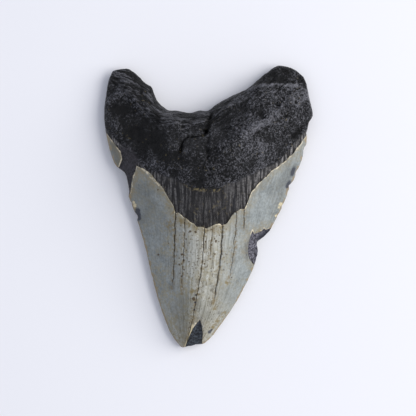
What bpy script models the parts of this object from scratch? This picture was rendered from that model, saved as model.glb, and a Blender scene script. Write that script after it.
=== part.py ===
"""A fossil megalodon tooth, one solid, lying on its flatter outer face.

The tip points to -Y, the two lobes of the root to +Y, and the bulging inner face is up. The origin is under the
middle of the tooth, on the surface that it lies on. All sizes below are millimetres.

The body is a slab: one grid of columns and rows, extruded once, whose two faces are then shaped. A column runs
from the tip to the root at a share of the width, and a row runs from the left cutting edge to the right one.
One row follows the enamel line, and some columns follow the long cracks, so both come out crisp.
"""

import math

import bmesh
import bpy
import numpy as np
from mathutils import noise

MM = 0.001

# Grid
PLAIN_COLUMNS = 40
CROWN_ROWS = 25
ROOT_ROWS = 19

# Driving sizes
ENAMEL = 0.7  # how far the enamel stands above the root and above the dentine under it
ENAMEL_CLIFF = 0.35  # how wide the step down from the enamel is
EDGE = 0.7  # thickness left at the cutting edges and at the rim of the root
CRACK_WIDTH = 0.8
CRACK_DEPTH = 0.6
WRINKLE = 0.9  # height of the lumps all over the root
WRINKLE_SIZE = 6.0
RELIEF_FOOT = 8.0  # how far above the enamel line the root's relief reaches its full height
FLAKE_WALL = 0.9  # how wide the wall round a flaked place is
VALLEY = 1.2  # depth of the valley between the lobes on the outer face
VALLEY_WIDTH = 10.0
VALLEY_START = 12.0  # where along the tooth it begins
VALLEY_LENGTH = 20.0  # how far on it reaches its full depth
RIM_RADIUS = 6.0  # radius of the shoulder along the rim of the root
RIM_SLOPE = 21.0  # how far from the rim the inner face goes on rising
RIM_ROUNDNESS = 0.42  # the shoulder's share of the height, in the notch
LOBE_START = 10.0  # how far from the middle the lobes begin
LOBE_DROP = 0.32  # share of the middle's height that the lobes lack
DROP_WIDTH = 22.0  # how far sideways the drop grows
DROP_START = 6.0  # where along the tooth it begins
DROP_LENGTH = 26.0  # how far on it reaches its full share
LOBE_WIDTH = 16.0  # how far sideways a lobe's shoulder gets rounder
LEFT_LOBE_ROUNDNESS = 0.14  # how much more it is on the left lobe
RIGHT_LOBE_ROUNDNESS = 0.4  # and on the right lobe
CHIP_FADE = 5  # power of the width's share with which a chip's push dies away inwards

# The undamaged side edges, (along, sideways)
LEFT_EDGE = (
    (-57.5, -10.0), (-56.3, -10.9), (-54.2, -12.8), (-51.2, -14.8), (-47.5, -16.5), (-38.2, -19.8),
    (-28.3, -22.5), (-17.0, -25.1), (-8.8, -27.4), (1.5, -30.9), (12.2, -35.2), (18.8, -38.2),
    (26.6, -40.4), (37.8, -41.7), (44.2, -41.0), (52.8, -39.0), (54.3, -38.2), (57.0, -36.6),
)
RIGHT_EDGE = (
    (-57.5, -4.4), (-54.7, -1.5), (-52.6, 0.8), (-48.2, 4.2), (-40.2, 9.8), (-30.0, 15.4), (-15.0, 22.0),
    (-8.8, 24.9), (-2.6, 28.2), (6.0, 32.0), (11.4, 34.3), (17.0, 36.6), (23.8, 38.8), (29.0, 39.8),
    (36.7, 41.7), (43.0, 40.4), (50.3, 38.7), (51.8, 38.1), (57.0, 35.2),
)

# The broken tip, and the rim of the root with the notch between its lobes, (sideways, along)
TIP_EDGE = ((-10.9, -56.3), (-10.2, -56.5), (-9.2, -56.2), (-6.6, -55.7), (-3.9, -55.2), (-1.5, -54.7))
ROOT_RIM = (
    (-38.2, 54.3), (-35.2, 55.0), (-32.2, 55.0), (-27.8, 51.8), (-22.8, 47.6), (-20.5, 42.1), (-16.5, 38.7),
    (-6.7, 37.5), (-0.5, 38.2), (2.9, 40.6), (16.2, 47.5), (23.8, 53.8), (28.4, 56.5), (34.1, 55.0),
    (38.1, 51.8),
)

# Where the enamel ends, (sideways, along): a deep bay on the inner face, a shallow one on the outer face
INNER_ENAMEL_LINE = (
    (-40.9, 29.4), (-35.6, 22.6), (-28.4, 16.1), (-22.0, 11.0), (-16.8, 5.2), (-13.7, 0.3), (-13.2, -2.2),
    (-11.8, -2.4), (-7.0, -6.1), (-4.6, -8.0), (-0.9, -8.6), (4.2, -6.6), (6.0, -7.3), (8.6, -3.9),
    (12.8, -0.9), (14.2, -1.2), (16.8, 5.7), (21.5, 10.7), (30.1, 17.7), (36.1, 24.0), (39.8, 29.0),
)
OUTER_ENAMEL_LINE = (
    (-40.9, 29.4), (-34.0, 23.5), (-22.0, 17.0), (-8.0, 13.2), (4.0, 13.0), (18.0, 16.2), (32.0, 23.4),
    (39.8, 29.0),
)

# Heights above the resting surface, (along, height): down the middle, and at the side edges
CREST = (
    (-57.0, 6.0), (-50.0, 8.6), (-40.0, 11.4), (-25.0, 14.9), (-10.0, 17.7), (0.0, 19.6), (8.0, 22.0),
    (16.0, 24.8), (24.0, 26.4), (32.0, 26.0), (40.0, 23.6), (48.0, 20.8), (57.0, 18.6),
)
SIDE_HEIGHT = ((-57.0, 2.6), (-40.0, 3.0), (-20.0, 3.6), (0.0, 4.0), (20.0, 3.9), (32.0, 3.6), (57.0, 3.8))
# Power of the cosine that the inner face's section follows: the root is fuller than the crown
SECTION_POWER = ((-57.0, 1.0), (-10.0, 1.05), (12.0, 0.85), (26.0, 0.66), (57.0, 0.6))
# Power with which the outer face turns up towards its edges, and its arch between where it rests
OUTER_FLATNESS = ((-57.0, 2.6), (0.0, 3.2), (30.0, 6.0), (57.0, 6.0))
OUTER_ARCH = (
    (-57.0, 0.5), (-49.0, -0.3), (-36.0, -0.9), (-22.0, -0.6), (-6.0, 0.5), (8.0, 1.3), (18.0, 0.8),
    (30.0, -1.2), (45.0, -1.8), (57.0, -0.6),
)

# Long cracks in the enamel, from the enamel line towards the tip, (sideways, along)
CRACKS = (
    ((-13.1, -2.6), (-13.4, -14.0), (-14.0, -28.0), (-14.6, -32.6)),
    ((-1.6, -9.0), (-2.2, -19.4), (-4.0, -34.0), (-6.0, -43.0), (-9.1, -55.5)),
    ((5.5, -7.3), (5.3, -16.2), (4.3, -24.2), (2.2, -37.0)),
    ((11.0, -3.8), (10.6, -16.2), (9.3, -22.6), (8.0, -29.4)),
)

# Chips out of the side edges, (along, depth)
LEFT_CHIPS = (
    (-5.5, 0.0), (-4.0, 0.8), (-2.2, 0.0), (4.5, 0.0), (8.0, 1.6), (13.4, 2.4), (16.2, 0.5), (17.4, 0.0),
)
RIGHT_CHIPS = (
    (-24.0, 0.0), (-21.0, 0.3), (-18.0, 1.1), (-15.0, 2.8), (-13.4, 3.0), (-11.5, 0.7), (-9.8, 0.0),
    (6.8, 0.0), (8.4, 0.9), (10.0, 0.0), (28.0, 0.0), (30.0, 1.0), (34.5, 1.1), (36.0, 0.0),
)

# Places on the inner face where the enamel has flaked away: depth and outline, (sideways, along)
FLAKES = {
    "gap at the left shoulder": (ENAMEL, (
        (-31.0, 5.5), (-30.6, 9.5), (-30.1, 12.2), (-28.4, 16.1), (-28.2, 19.0), (-33.5, 24.5),
        (-34.8, 21.1), (-34.4, 18.7), (-35.6, 15.8), (-38.5, 13.0), (-34.0, 5.0),
    )),
    "chip in the right edge": (0.9, (
        (17.5, -10.2), (19.8, -10.5), (22.1, -8.9), (24.6, -8.9), (30.0, -8.0), (28.0, -24.0), (18.4, -23.2),
        (16.4, -21.0), (15.6, -18.4), (15.8, -15.8),
    )),
    "scar at the tip": (1.2, (
        (-10.0, -59.0), (-7.9, -52.2), (-6.2, -48.5), (-3.2, -45.2), (-2.2, -50.9), (-2.4, -59.0),
    )),
}

# Lumps and hollows of the root: (sideways, along, half length, half width, turn in degrees, rise)
ROOT_FORMS = {
    "left lobe ridge": (-26.0, 42.6, 12.0, 2.4, -42.0, 1.9),
    "left lobe hollow": (-29.5, 31.0, 9.5, 5.6, 66.0, -2.2),
    "left lobe break": (-22.5, 47.0, 7.0, 2.6, -48.0, -0.9),
    "right lobe ridge": (22.0, 34.0, 18.0, 2.8, 38.0, 1.8),
    "right lobe hollow": (14.5, 39.6, 10.0, 3.2, 35.0, -0.9),
    "right lobe ledge": (26.0, 48.0, 8.0, 1.1, 2.0, 0.7),
    "right lobe break": (27.0, 54.0, 9.0, 4.0, -5.0, -2.2),
    "right lobe groove": (37.6, 31.8, 3.6, 1.1, 42.0, -1.5),
    "upper pit": (30.8, 40.1, 1.3, 1.1, 0.0, -1.5),
    "lower pit": (25.5, 35.6, 1.4, 1.2, 0.0, -1.4),
    "pit under the ridge": (25.6, 27.6, 1.5, 1.4, 0.0, -0.9),
    "nutrient hole": (-0.9, 29.0, 1.6, 1.5, 0.0, -3.2),
    "furrow above the hole": (0.2, 33.0, 4.0, 1.4, 75.0, -1.1),
    "split beside the hole": (-5.4, 27.3, 4.0, 1.1, 6.0, -1.0),
    "bend of the split": (-10.2, 24.4, 2.2, 1.1, 75.0, -0.7),
    "furrow below the hole": (-0.4, 20.6, 6.0, 1.4, 90.0, -1.0),
    "boss left of the furrow": (-5.4, 22.0, 3.6, 3.6, 0.0, 1.3),
    "bulge on the right": (7.0, 21.0, 6.0, 4.6, 115.0, 1.1),
    "dip above the bay": (-11.0, 17.8, 3.4, 1.8, 120.0, -0.7),
    "lump on the left flank": (-14.6, 25.5, 4.4, 2.6, 80.0, 0.8),
    "lump on the right flank": (21.0, 24.0, 3.6, 3.6, 0.0, 0.7),
    "lip above the enamel": (0.0, 8.6, 15.0, 1.6, 0.0, 0.5),
}


def through(points, at):
    """A smooth curve through (position, value) points, read at some positions."""
    position, value = np.array(points, float).T
    slope = np.gradient(value, position)
    at = np.clip(at, position[0], position[-1])
    left = np.clip(np.searchsorted(position, at, side="right") - 1, 0, len(position) - 2)
    span = position[left + 1] - position[left]
    part = (at - position[left]) / span
    ends = value[left] * (1 + 2 * part) * (1 - part) ** 2 + value[left + 1] * part**2 * (3 - 2 * part)
    return ends + span * part * (1 - part) * (slope[left] * (1 - part) - slope[left + 1] * part)


def smooth_line(points, count=240):
    """A denser line that runs smoothly through (sideways, along) points."""
    line = np.array(points, float)
    run = np.concatenate([[0], np.cumsum(np.hypot(*np.diff(line, axis=0).T))])
    at = np.linspace(0, run[-1], count)
    return np.stack([through(np.stack([run, line[:, axis]], 1), at) for axis in (0, 1)], 1)


def ease(value):
    """0 below 0, 1 above 1 and a smooth step between."""
    value = np.clip(value, 0, 1)
    return value * value * (3 - 2 * value)


def width_share(x, y):
    """How far across the undamaged tooth a place is: 0 at the left edge and 1 at the right one."""
    left = through(LEFT_EDGE, y)
    return (x - left) / (through(RIGHT_EDGE, y) - left)


def line_height(line, share):
    """How far along the tooth a line crosses each column."""
    x, y = np.array(line, float).T
    return np.interp(share, width_share(x, y), y)


def crack_share(crack, y):
    """The share of the width at which a crack lies; past its ends it keeps the share that it ended with."""
    x, along = np.array(crack[::-1], float).T
    y = np.clip(y, along[0], along[-1])
    return width_share(np.interp(y, along, x), y)


def spread(count):
    """Shares of the width that go from 0 to 1 and crowd towards both edges."""
    even = np.linspace(0, 1, count)
    return even - 0.5 * np.sin(2 * np.pi * even) / (2 * np.pi)


def column_layout():
    """Each column's share of the width at the enamel line, and how far along the tooth its crack ends.

    Plain columns have no crack, so their end is infinite. A crack takes three columns, two lips and a bottom,
    and only the bottom has a crack's end.
    """
    plain = spread(PLAIN_COLUMNS + 1)
    shares, ends = [], []
    for crack in CRACKS:
        start = crack[0][1]
        middle = float(crack_share(crack, start))
        half = CRACK_WIDTH / 2 / float(through(RIGHT_EDGE, start) - through(LEFT_EDGE, start))
        plain = plain[np.abs(plain - middle) > 2.5 * half]
        shares += [middle - half, middle, middle + half]
        ends += [np.inf, crack[-1][1], np.inf]
    shares = np.concatenate([plain, shares])
    ends = np.concatenate([np.full(len(plain), np.inf), ends])
    order = np.argsort(shares)
    return shares[order], ends[order]


def bent_share(share, y):
    """Each column's share of the width further along: columns bend so that those of a crack follow it."""
    starts = [0.0, *(float(crack_share(crack, crack[0][1])) for crack in CRACKS), 1.0]
    paths = [np.zeros_like(y), *(crack_share(crack, y) for crack in CRACKS), np.ones_like(y)]
    bent = np.zeros_like(y)
    for low, high, low_path, high_path in zip(starts, starts[1:], paths, paths[1:]):
        part = (share - low) / (high - low)
        bent = np.where((part >= 0) & (part <= 1), low_path + (high_path - low_path) * part, bent)
    return bent


def plan(enamel_line):
    """Where each grid vertex lies seen from above: (x, y), each an array of rows by columns.

    The rows of the crown go evenly from the broken tip to the enamel line. One narrow row makes the enamel's
    cliff. The rows of the root go on to its rim, and crowd towards it, while its columns spread out again.
    """
    columns = column_layout()[0]
    crown = np.linspace(0, 1, CROWN_ROWS + 1)[:, None]
    root = 1 - (1 - np.linspace(0, 1, ROOT_ROWS + 1)[:, None]) ** 1.5
    share = np.broadcast_to(columns, (CROWN_ROWS + ROOT_ROWS + 2, len(columns)))
    for _ in range(6):
        below, above = share[: CROWN_ROWS + 1], share[CROWN_ROWS + 1 :]
        low, high = line_height(TIP_EDGE, below), line_height(enamel_line, below) - ENAMEL_CLIFF
        crown_y = low + (high - low) * crown
        low, high = line_height(enamel_line, above), line_height(smooth_line(ROOT_RIM), above)
        y = np.concatenate([crown_y, low + (high - low) * root])
        share = bent_share(columns, y)
        share[CROWN_ROWS + 1 :] += (spread(len(columns)) - share[CROWN_ROWS + 1 :]) * ease(2.5 * root)
    left, right = through(LEFT_EDGE, y), through(RIGHT_EDGE, y)
    x = left + (right - left) * share
    x += np.interp(y, *np.array(LEFT_CHIPS).T) * (1 - share) ** CHIP_FADE
    x -= np.interp(y, *np.array(RIGHT_CHIPS).T) * share**CHIP_FADE
    return x, y


def inside(outline, x, y):
    """How far inside a closed outline each place lies, negative outside it."""
    ax, ay = np.array(outline, float).T
    bx, by = np.roll(ax, -1), np.roll(ay, -1)
    x, y = x[..., None], y[..., None]
    along = np.clip(((x - ax) * (bx - ax) + (y - ay) * (by - ay)) / ((bx - ax) ** 2 + (by - ay) ** 2), 0, 1)
    away = np.hypot(x - ax - along * (bx - ax), y - ay - along * (by - ay)).min(-1)
    level = np.where(by == ay, 1, by - ay)
    crosses = ((ay > y) != (by > y)) & (x < ax + (y - ay) * (bx - ax) / level)
    return np.where(crosses.sum(-1) % 2 == 1, away, -away)


def rim_fullness(x, y, radius, reach, roundness):
    """How much of its full height the root has near its rim: a round shoulder, then a slope up to the crest."""
    rim = smooth_line(ROOT_RIM)
    away = np.hypot(x[..., None] - rim[:, 0], y[..., None] - rim[:, 1]).min(-1)
    shoulder = np.sqrt(1 - (1 - np.clip(away / radius, 0, 1)) ** 2)
    return roundness * shoulder + (1 - roundness) * ease(away / reach)


def root_relief(x, y):
    """Rise of the root's lumps, hollows and wrinkles."""
    rise = np.zeros_like(x)
    for centre_x, centre_y, length, width, turn, height in ROOT_FORMS.values():
        cos, sin = math.cos(math.radians(turn)), math.sin(math.radians(turn))
        along = ((x - centre_x) * cos + (y - centre_y) * sin) / length
        across = ((y - centre_y) * cos - (x - centre_x) * sin) / width
        rise += height * np.exp(-(along**2) - across**2)
    places = np.stack([x, y, np.zeros_like(x)], -1).reshape(-1, 3) / WRINKLE_SIZE
    wrinkles = np.array([noise.fractal(place, 0.6, 2.1, 3) for place in places])
    return rise + WRINKLE * wrinkles.reshape(x.shape)


def inner_height(x, y):
    """Height of the bulging face: a section from edge to edge, the root's relief, and the flakes lost."""
    side, crest = through(SIDE_HEIGHT, y), through(CREST, y)
    share = width_share(x, y)
    across = np.clip(2 * share - 1, -1, 1)
    lobe = ease((np.abs(x) - LOBE_START) / LOBE_WIDTH)
    lobe *= np.where(x < 0, LEFT_LOBE_ROUNDNESS, RIGHT_LOBE_ROUNDNESS)
    fullness = np.cos(np.pi / 2 * across) ** through(SECTION_POWER, y)
    drop = ease((np.abs(x) - LOBE_START) / DROP_WIDTH) * ease((y - DROP_START) / DROP_LENGTH)
    fullness *= 1 - LOBE_DROP * drop
    fullness *= rim_fullness(x, y, RIM_RADIUS, RIM_SLOPE, RIM_ROUNDNESS + lobe)
    height = side + EDGE / 2 + (crest - side) * fullness
    on_root = ease((y - line_height(INNER_ENAMEL_LINE, share)) / RELIEF_FOOT)
    height += root_relief(x, y) * on_root * ease(fullness * 2)
    for depth, outline in FLAKES.values():
        height -= depth * ease(inside(outline, x, y) / FLAKE_WALL + 0.5) * ease(fullness * 8)
    return height


def outer_height(x, y):
    """Height of the flatter face: level where it rests, arched between, and turned up towards every edge."""
    side = through(SIDE_HEIGHT, y) - EDGE / 2
    across = np.clip(2 * width_share(x, y) - 1, -1, 1)
    height = side * np.abs(across) ** through(OUTER_FLATNESS, y)
    height += through(OUTER_ARCH, y) * (1 - across**2)
    height += VALLEY * np.exp(-((x / VALLEY_WIDTH) ** 2)) * ease((y - VALLEY_START) / VALLEY_LENGTH)
    return np.maximum(side + (height - side) * rim_fullness(x, y, RIM_RADIUS, RIM_RADIUS, 1), 0)


def root_step(x, y):
    """How far the root lies below the enamel: the step closes up at the cutting edges."""
    across = np.abs(2 * width_share(x, y) - 1)
    return ENAMEL * (1 - ease((across - 0.88) / 0.1))


def lower_skin():
    """The vertices of the outer face, an array of rows by columns by 3."""
    x, y = plan(OUTER_ENAMEL_LINE)
    z = outer_height(x, y)
    root = slice(CROWN_ROWS + 1, None)
    line_fade = 1 - ease((y - y[CROWN_ROWS + 1]) / 12)
    z[root] += (root_step(x, y) * line_fade)[root]
    return np.stack([x, y, z], -1)


def upper_skin():
    """The vertices of the inner face, an array of rows by columns by 3."""
    x, y = plan(INNER_ENAMEL_LINE)
    z = inner_height(x, y)
    root = slice(CROWN_ROWS + 1, None)
    z[root] -= root_step(x, y)[root]
    crown = slice(None, CROWN_ROWS + 1)
    crack_ends = column_layout()[1]
    z[crown] -= CRACK_DEPTH * ease((y[crown] - crack_ends) / 6 + 0.2)
    return np.stack([x, y, z], -1)


def slab(columns, rows):
    """A level grid extruded once: a closed slab, with the lower face's vertices first and the upper's after."""
    form = bmesh.new()
    bmesh.ops.create_grid(form, x_segments=columns, y_segments=rows, size=1)
    bmesh.ops.extrude_face_region(form, geom=form.faces[:], use_keep_orig=True)
    return form


def shape(form, lower, upper):
    """Moves each vertex of the slab to its place on the lower or the upper skin."""
    rows, columns = lower.shape[:2]
    half = len(form.verts) // 2
    for number, vertex in enumerate(form.verts):
        column = round((vertex.co.x + 1) / 2 * (columns - 1))
        row = round((vertex.co.y + 1) / 2 * (rows - 1))
        skin = lower if number < half else upper
        vertex.co = skin[row, column] * MM


def set_down(form):
    """Centres the tooth over the origin and stands its lowest vertex on the surface."""
    places = np.array([vertex.co[:] for vertex in form.verts])
    low, high = places.min(0), places.max(0)
    shift = ((low[0] + high[0]) / 2, (low[1] + high[1]) / 2, low[2])
    bmesh.ops.translate(form, verts=form.verts, vec=[-value for value in shift])


def finish(name, colour, roughness):
    """A plain material."""
    material = bpy.data.materials.new(name)
    material.use_nodes = True
    shader = material.node_tree.nodes["Principled BSDF"]
    shader.inputs["Base Color"].default_value = (*colour, 1)
    shader.inputs["Roughness"].default_value = roughness
    shader.inputs["Metallic"].default_value = 0
    return material


def tooth():
    """The tooth, with its enamel and its bare root in two materials."""
    lower, upper = lower_skin(), upper_skin()
    rows, columns = lower.shape[:2]
    form = slab(columns - 1, rows - 1)
    row_of = [round((vertex.co.y + 1) / 2 * (rows - 1)) for vertex in form.verts]
    for face in form.faces:
        face.material_index = int(max(row_of[vertex.index] for vertex in face.verts) > CROWN_ROWS)
    shape(form, lower, upper)
    set_down(form)
    bmesh.ops.recalc_face_normals(form, faces=form.faces)
    mesh = bpy.data.meshes.new("tooth")
    form.to_mesh(mesh)
    form.free()
    mesh.materials.append(finish("blue_grey_enamel", (0.24, 0.27, 0.28), 0.38))
    mesh.materials.append(finish("black_fossil_root", (0.022, 0.023, 0.026), 0.72))
    mesh.shade_smooth()
    mesh.set_sharp_from_angle(angle=math.radians(50))
    return bpy.data.objects.new("tooth", mesh)


def main():
    """Clears the scene and puts the tooth in a collection of its own."""
    for leftover in list(bpy.data.objects):
        bpy.data.objects.remove(leftover)
    collection = bpy.data.collections.new("megalodon_tooth")
    bpy.context.scene.collection.children.link(collection)
    collection.objects.link(tooth())


main()
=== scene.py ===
"""Looks of a fossil megalodon tooth: enamel crown, striated band, rough black root, chips and cracks.

The tooth is one closed surface in place of the plain solid. Its shape is worked out on two grids of columns
and rows, for the bulging inner face and the flatter outer face, which a narrow wall joins at the rim. Columns
run from the tip to the root and rows from the left cutting edge to the right one. Lengths are millimetres
until the mesh is made.
"""

import logging
import math
from dataclasses import dataclass, field
from enum import Enum, IntEnum

import bpy
import numpy as np
from numpy.typing import NDArray
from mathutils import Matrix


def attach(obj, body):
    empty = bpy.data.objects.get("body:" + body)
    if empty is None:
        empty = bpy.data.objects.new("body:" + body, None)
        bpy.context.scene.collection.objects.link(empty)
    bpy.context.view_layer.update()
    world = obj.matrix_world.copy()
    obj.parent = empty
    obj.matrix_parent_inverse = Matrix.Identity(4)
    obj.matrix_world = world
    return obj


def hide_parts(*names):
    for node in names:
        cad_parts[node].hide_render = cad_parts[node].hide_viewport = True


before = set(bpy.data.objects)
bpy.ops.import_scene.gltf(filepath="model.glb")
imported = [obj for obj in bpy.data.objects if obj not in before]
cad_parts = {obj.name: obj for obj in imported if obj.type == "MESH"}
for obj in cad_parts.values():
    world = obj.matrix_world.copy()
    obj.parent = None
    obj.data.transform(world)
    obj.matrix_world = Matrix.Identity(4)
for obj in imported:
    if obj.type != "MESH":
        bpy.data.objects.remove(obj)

Array = NDArray[np.float64]
Numbers = NDArray[np.int64]
Points = tuple[tuple[float, float], ...]

MM = 0.001
TIP = -56.0  # where along the tooth its tip lies
NODE = "tooth"
BODY = "root"
SLOT = "fossil_tooth"

log = logging.getLogger("tooth")


# Curves and distances


def through(points: Points | Array, at: Array) -> Array:
    """Reads a smooth curve: cubic pieces whose slopes are those of the neighbouring points.

    Args:
        points: (position, value) pairs in order of position.
        at: positions to read, held inside the curve's range.

    Returns:
        The value at each position.
    """
    position, value = np.asarray(points, float).T
    slope = np.gradient(value, position)
    at = np.clip(at, position[0], position[-1])
    left = np.clip(np.searchsorted(position, at, side="right") - 1, 0, len(position) - 2)
    span = position[left + 1] - position[left]
    part = (at - position[left]) / span
    ends = value[left] * (1 + 2 * part) * (1 - part) ** 2 + value[left + 1] * part**2 * (3 - 2 * part)
    return ends + span * part * (1 - part) * (slope[left] * (1 - part) - slope[left + 1] * part)


def run_along(line: Array) -> Array:
    """Gives how far along a line each of its places is."""
    return np.concatenate([[0], np.cumsum(np.hypot(*np.diff(line, axis=0).T))])


def smooth_line(points: Points, count: int = 300) -> Array:
    """Makes a denser line by running a smooth curve through points, evenly along its length.

    Args:
        points: (sideways, along) places.
        count: number of places in the new line.

    Returns:
        The new line, one place a row.
    """
    line = np.asarray(points, float)
    run = run_along(line)
    at = np.linspace(0, run[-1], count)
    return np.stack([through(np.stack([run, line[:, axis]], 1), at) for axis in (0, 1)], 1)


def ease(value: Array) -> Array:
    """Gives 0 below 0, 1 above 1, and 3t^2 - 2t^3 between."""
    value = np.clip(value, 0, 1)
    return value * value * (3 - 2 * value)


def path_distance(path: Points | Array, x: Array, y: Array) -> Array:
    """Measures the distance from each place to a path of straight stretches.

    Args:
        path: places along the path; one place alone is a point.
        x: sideways places.
        y: places along the tooth.

    Returns:
        The distance to the nearest stretch.
    """
    line = np.asarray(path, float).reshape(-1, 2)
    if len(line) == 1:
        return np.hypot(x - line[0, 0], y - line[0, 1])
    nearest = np.full(np.shape(x), np.inf)
    for (ax, ay), (bx, by) in zip(line, line[1:]):
        dx, dy = bx - ax, by - ay
        along = np.clip(((x - ax) * dx + (y - ay) * dy) / (dx * dx + dy * dy), 0, 1)
        nearest = np.minimum(nearest, np.hypot(x - ax - along * dx, y - ay - along * dy))
    return nearest


def inside_distance(outline: Points, x: Array, y: Array) -> Array:
    """Measures how far inside a closed outline each place lies.

    Args:
        outline: corners of the outline.
        x: sideways places.
        y: places along the tooth.

    Returns:
        The distance to the outline, negative outside it.
    """
    corners = [*outline, outline[0]]
    away = path_distance(tuple(corners), x, y)
    crossings = np.zeros(np.shape(x), int)
    for (ax, ay), (bx, by) in zip(corners, corners[1:]):
        if ay != by:
            crossings += ((ay > y) != (by > y)) & (x < ax + (y - ay) * (bx - ax) / (by - ay))
    return np.where(crossings % 2 == 1, away, -away)


# Noise

AXIS_STEP, OCTAVE_STEP = 31, 101  # from the seed of one axis, or one octave, to the next
NOISE_GAIN = 1.6  # brings noise to about -1 to 1
PIT_STEP, PIT_CHOICE, PIT_SIZE = 7, 53, 71  # the same for a pit's middle, its being there and its radius
LEAST_RADIUS, MORE_RADIUS = 0.14, 0.3  # a pit's radius in cells of the lattice
PIT_RIM = 1.15  # how far out a pit begins, in its radii


class Seed(IntEnum):
    """Picks the pattern of each noise in the tooth's shape."""

    INNER_LINE = 3
    OUTER_LINE = 5
    LUMPS = 21
    GRAIN = 23
    CRUST = 29
    PORES = 31
    BENDS = 35
    WRINKLES = 37
    CREASES = 39
    STRIATIONS = 41
    BAND_WAVES = 43
    WAVES = 51
    GROWTH = 53
    POCKS = 57
    BAND_BORDER = 61
    BROKEN = 67
    LEFT_NICKS = 71
    RIGHT_NICKS = 73
    RIM_NICKS = 75


def lattice_value(corner: Numbers, seed: int) -> Array:
    """Gives each corner of a cubic lattice its own random number, by mixing the bits of its three numbers.

    Args:
        corner: whole-number places, three in the last axis.
        seed: picks one set of numbers.

    Returns:
        A number from 0 to 1 for each corner, the same on every run.
    """
    factors = np.array([374761393, 668265263, 2246822519], np.uint64)
    mixed = (corner.astype(np.uint64) * factors).sum(-1) + np.uint64(seed * 3266489917)
    mixed &= np.uint64(0xFFFFFFFF)
    mixed = ((mixed ^ (mixed >> np.uint64(13))) * np.uint64(1274126177)) & np.uint64(0xFFFFFFFF)
    mixed ^= mixed >> np.uint64(16)
    return mixed.astype(float) / 0xFFFFFFFF


def noise(points: Array, seed: int) -> Array:
    """Gradient noise: each lattice corner adds its own slope, faded by 6t^5 - 15t^4 + 10t^3 along each axis.

    Args:
        points: places in units of the noise's size, three in the last axis.
        seed: picks one pattern.

    Returns:
        Values from about -1 to 1.
    """
    base = np.floor(points).astype(np.int64)
    part = points - base
    fade = part**3 * (part * (part * 6 - 15) + 10)
    total = np.zeros(points.shape[:-1])
    for step in np.ndindex(2, 2, 2):
        corner = base + np.array(step)
        slopes = np.stack([lattice_value(corner, seed + AXIS_STEP * axis) for axis in range(3)], -1) * 2 - 1
        weight = np.where(np.array(step) == 1, fade, 1 - fade).prod(-1)
        total += weight * (slopes * (part - np.array(step))).sum(-1)
    return total * NOISE_GAIN


def fractal(points: Array, seed: int, octaves: int = 3, gain: float = 0.5) -> Array:
    """Sums octaves of noise, each half the size and gain times the height of the one before.

    Args:
        points: places in units of the largest octave's size.
        seed: picks one pattern.
        octaves: number of octaves.
        gain: height of each octave against the one before.

    Returns:
        Values from about -1 to 1.
    """
    total, height, reach = np.zeros(points.shape[:-1]), 1.0, 0.0
    for octave in range(octaves):
        total += height * noise(points * 2.03**octave, seed + OCTAVE_STEP * octave)
        reach += height
        height *= gain
    return total / reach


def ridged(points: Array, seed: int, octaves: int = 2) -> Array:
    """Folds noise so that its zero lines become sharp crests: 1 - |noise|, squared, from 0 to 1."""
    return (1 - np.abs(np.clip(1.5 * fractal(points, seed, octaves), -1, 1))) ** 2


def pits(points: Array, seed: int, share: float) -> Array:
    """Strews round pits: one in some cells of a lattice, at a random place in the cell and of a random size.

    Args:
        points: places in units of the lattice.
        seed: picks one pattern.
        share: share of the cells that hold a pit.

    Returns:
        Depth from 0 to 1, deepest in a pit's middle.
    """
    base = np.floor(points).astype(np.int64)
    deepest = np.zeros(points.shape[:-1])
    for step in np.ndindex(3, 3, 3):
        cell = base + np.array(step) - 1
        middle = cell + np.stack([lattice_value(cell, seed + PIT_STEP * axis) for axis in range(3)], -1)
        chosen = lattice_value(cell, seed + PIT_CHOICE)
        radius = LEAST_RADIUS + MORE_RADIUS * lattice_value(cell, seed + PIT_SIZE) ** 2
        away = np.sqrt(((points - middle) ** 2).sum(-1))
        deepest = np.maximum(deepest, np.where(chosen < share, ease(PIT_RIM - away / radius), 0))
    return deepest


# The tooth's form


@dataclass(frozen=True)
class Crack:
    """A long crack in the enamel.

    Attributes:
        path: (sideways, along) places from the enamel line towards the tip.
        half_width: half its width where it starts; it narrows as the tooth does.
        depth: its depth where it starts.
        end: where along the tooth it closes up; its path goes on to keep the columns in order.
    """

    path: Points
    half_width: float
    depth: float
    end: float

    def share(self, outline: "Outline", y: Array) -> Array:
        """Finds the share of the width at which the crack lies, kept past both its ends.

        Two sine waves make it waver; they fade over 2 mm from its start and 12 mm from the tooth's tip.

        Args:
            outline: the tooth's outline.
            y: places along the tooth.

        Returns:
            The share at each place.
        """
        x, along = np.asarray(self.path[::-1], float).T
        y = np.clip(y, along[0], along[-1])
        waver = 0.1 * np.sin(y * 1.1 + 3 * along[-1]) + 0.03 * np.sin(y * 2.9 + 2 * self.end)
        waver = waver * ease((along[-1] - y) / 2) * ease((y - TIP) / 12)
        return outline.share(np.interp(y, along, x) + waver, y)

    def strength(self, y: Array) -> Array:
        """Gives 1 along the crack, falling to 0 over the last fifth before its lower end."""
        return ease((y - self.end) / (0.2 * (self.path[0][1] - self.end)))


@dataclass(frozen=True)
class Flake:
    """A place on the inner face where the enamel has broken away.

    Attributes:
        outline: its corners, (sideways, along).
        depth: how far its floor lies below the enamel at its edge.
        slope: how much deeper the floor gets for each millimetre inwards.
        deepest: the most that its floor lies below the enamel.
        edge: width of the step down to the floor.
        roughness: height of the floor's own grain.
    """

    outline: Points
    depth: float
    slope: float
    deepest: float
    edge: float = 0.3
    roughness: float = 0.0

    def depth_at(self, inside: Array) -> Array:
        """Gives how far down each place is, by its distance inside the outline: 0 well outside it."""
        floor = np.minimum(self.depth + self.slope * np.maximum(inside, 0), self.deepest)
        return floor * ease(inside / self.edge + 0.5)


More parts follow.
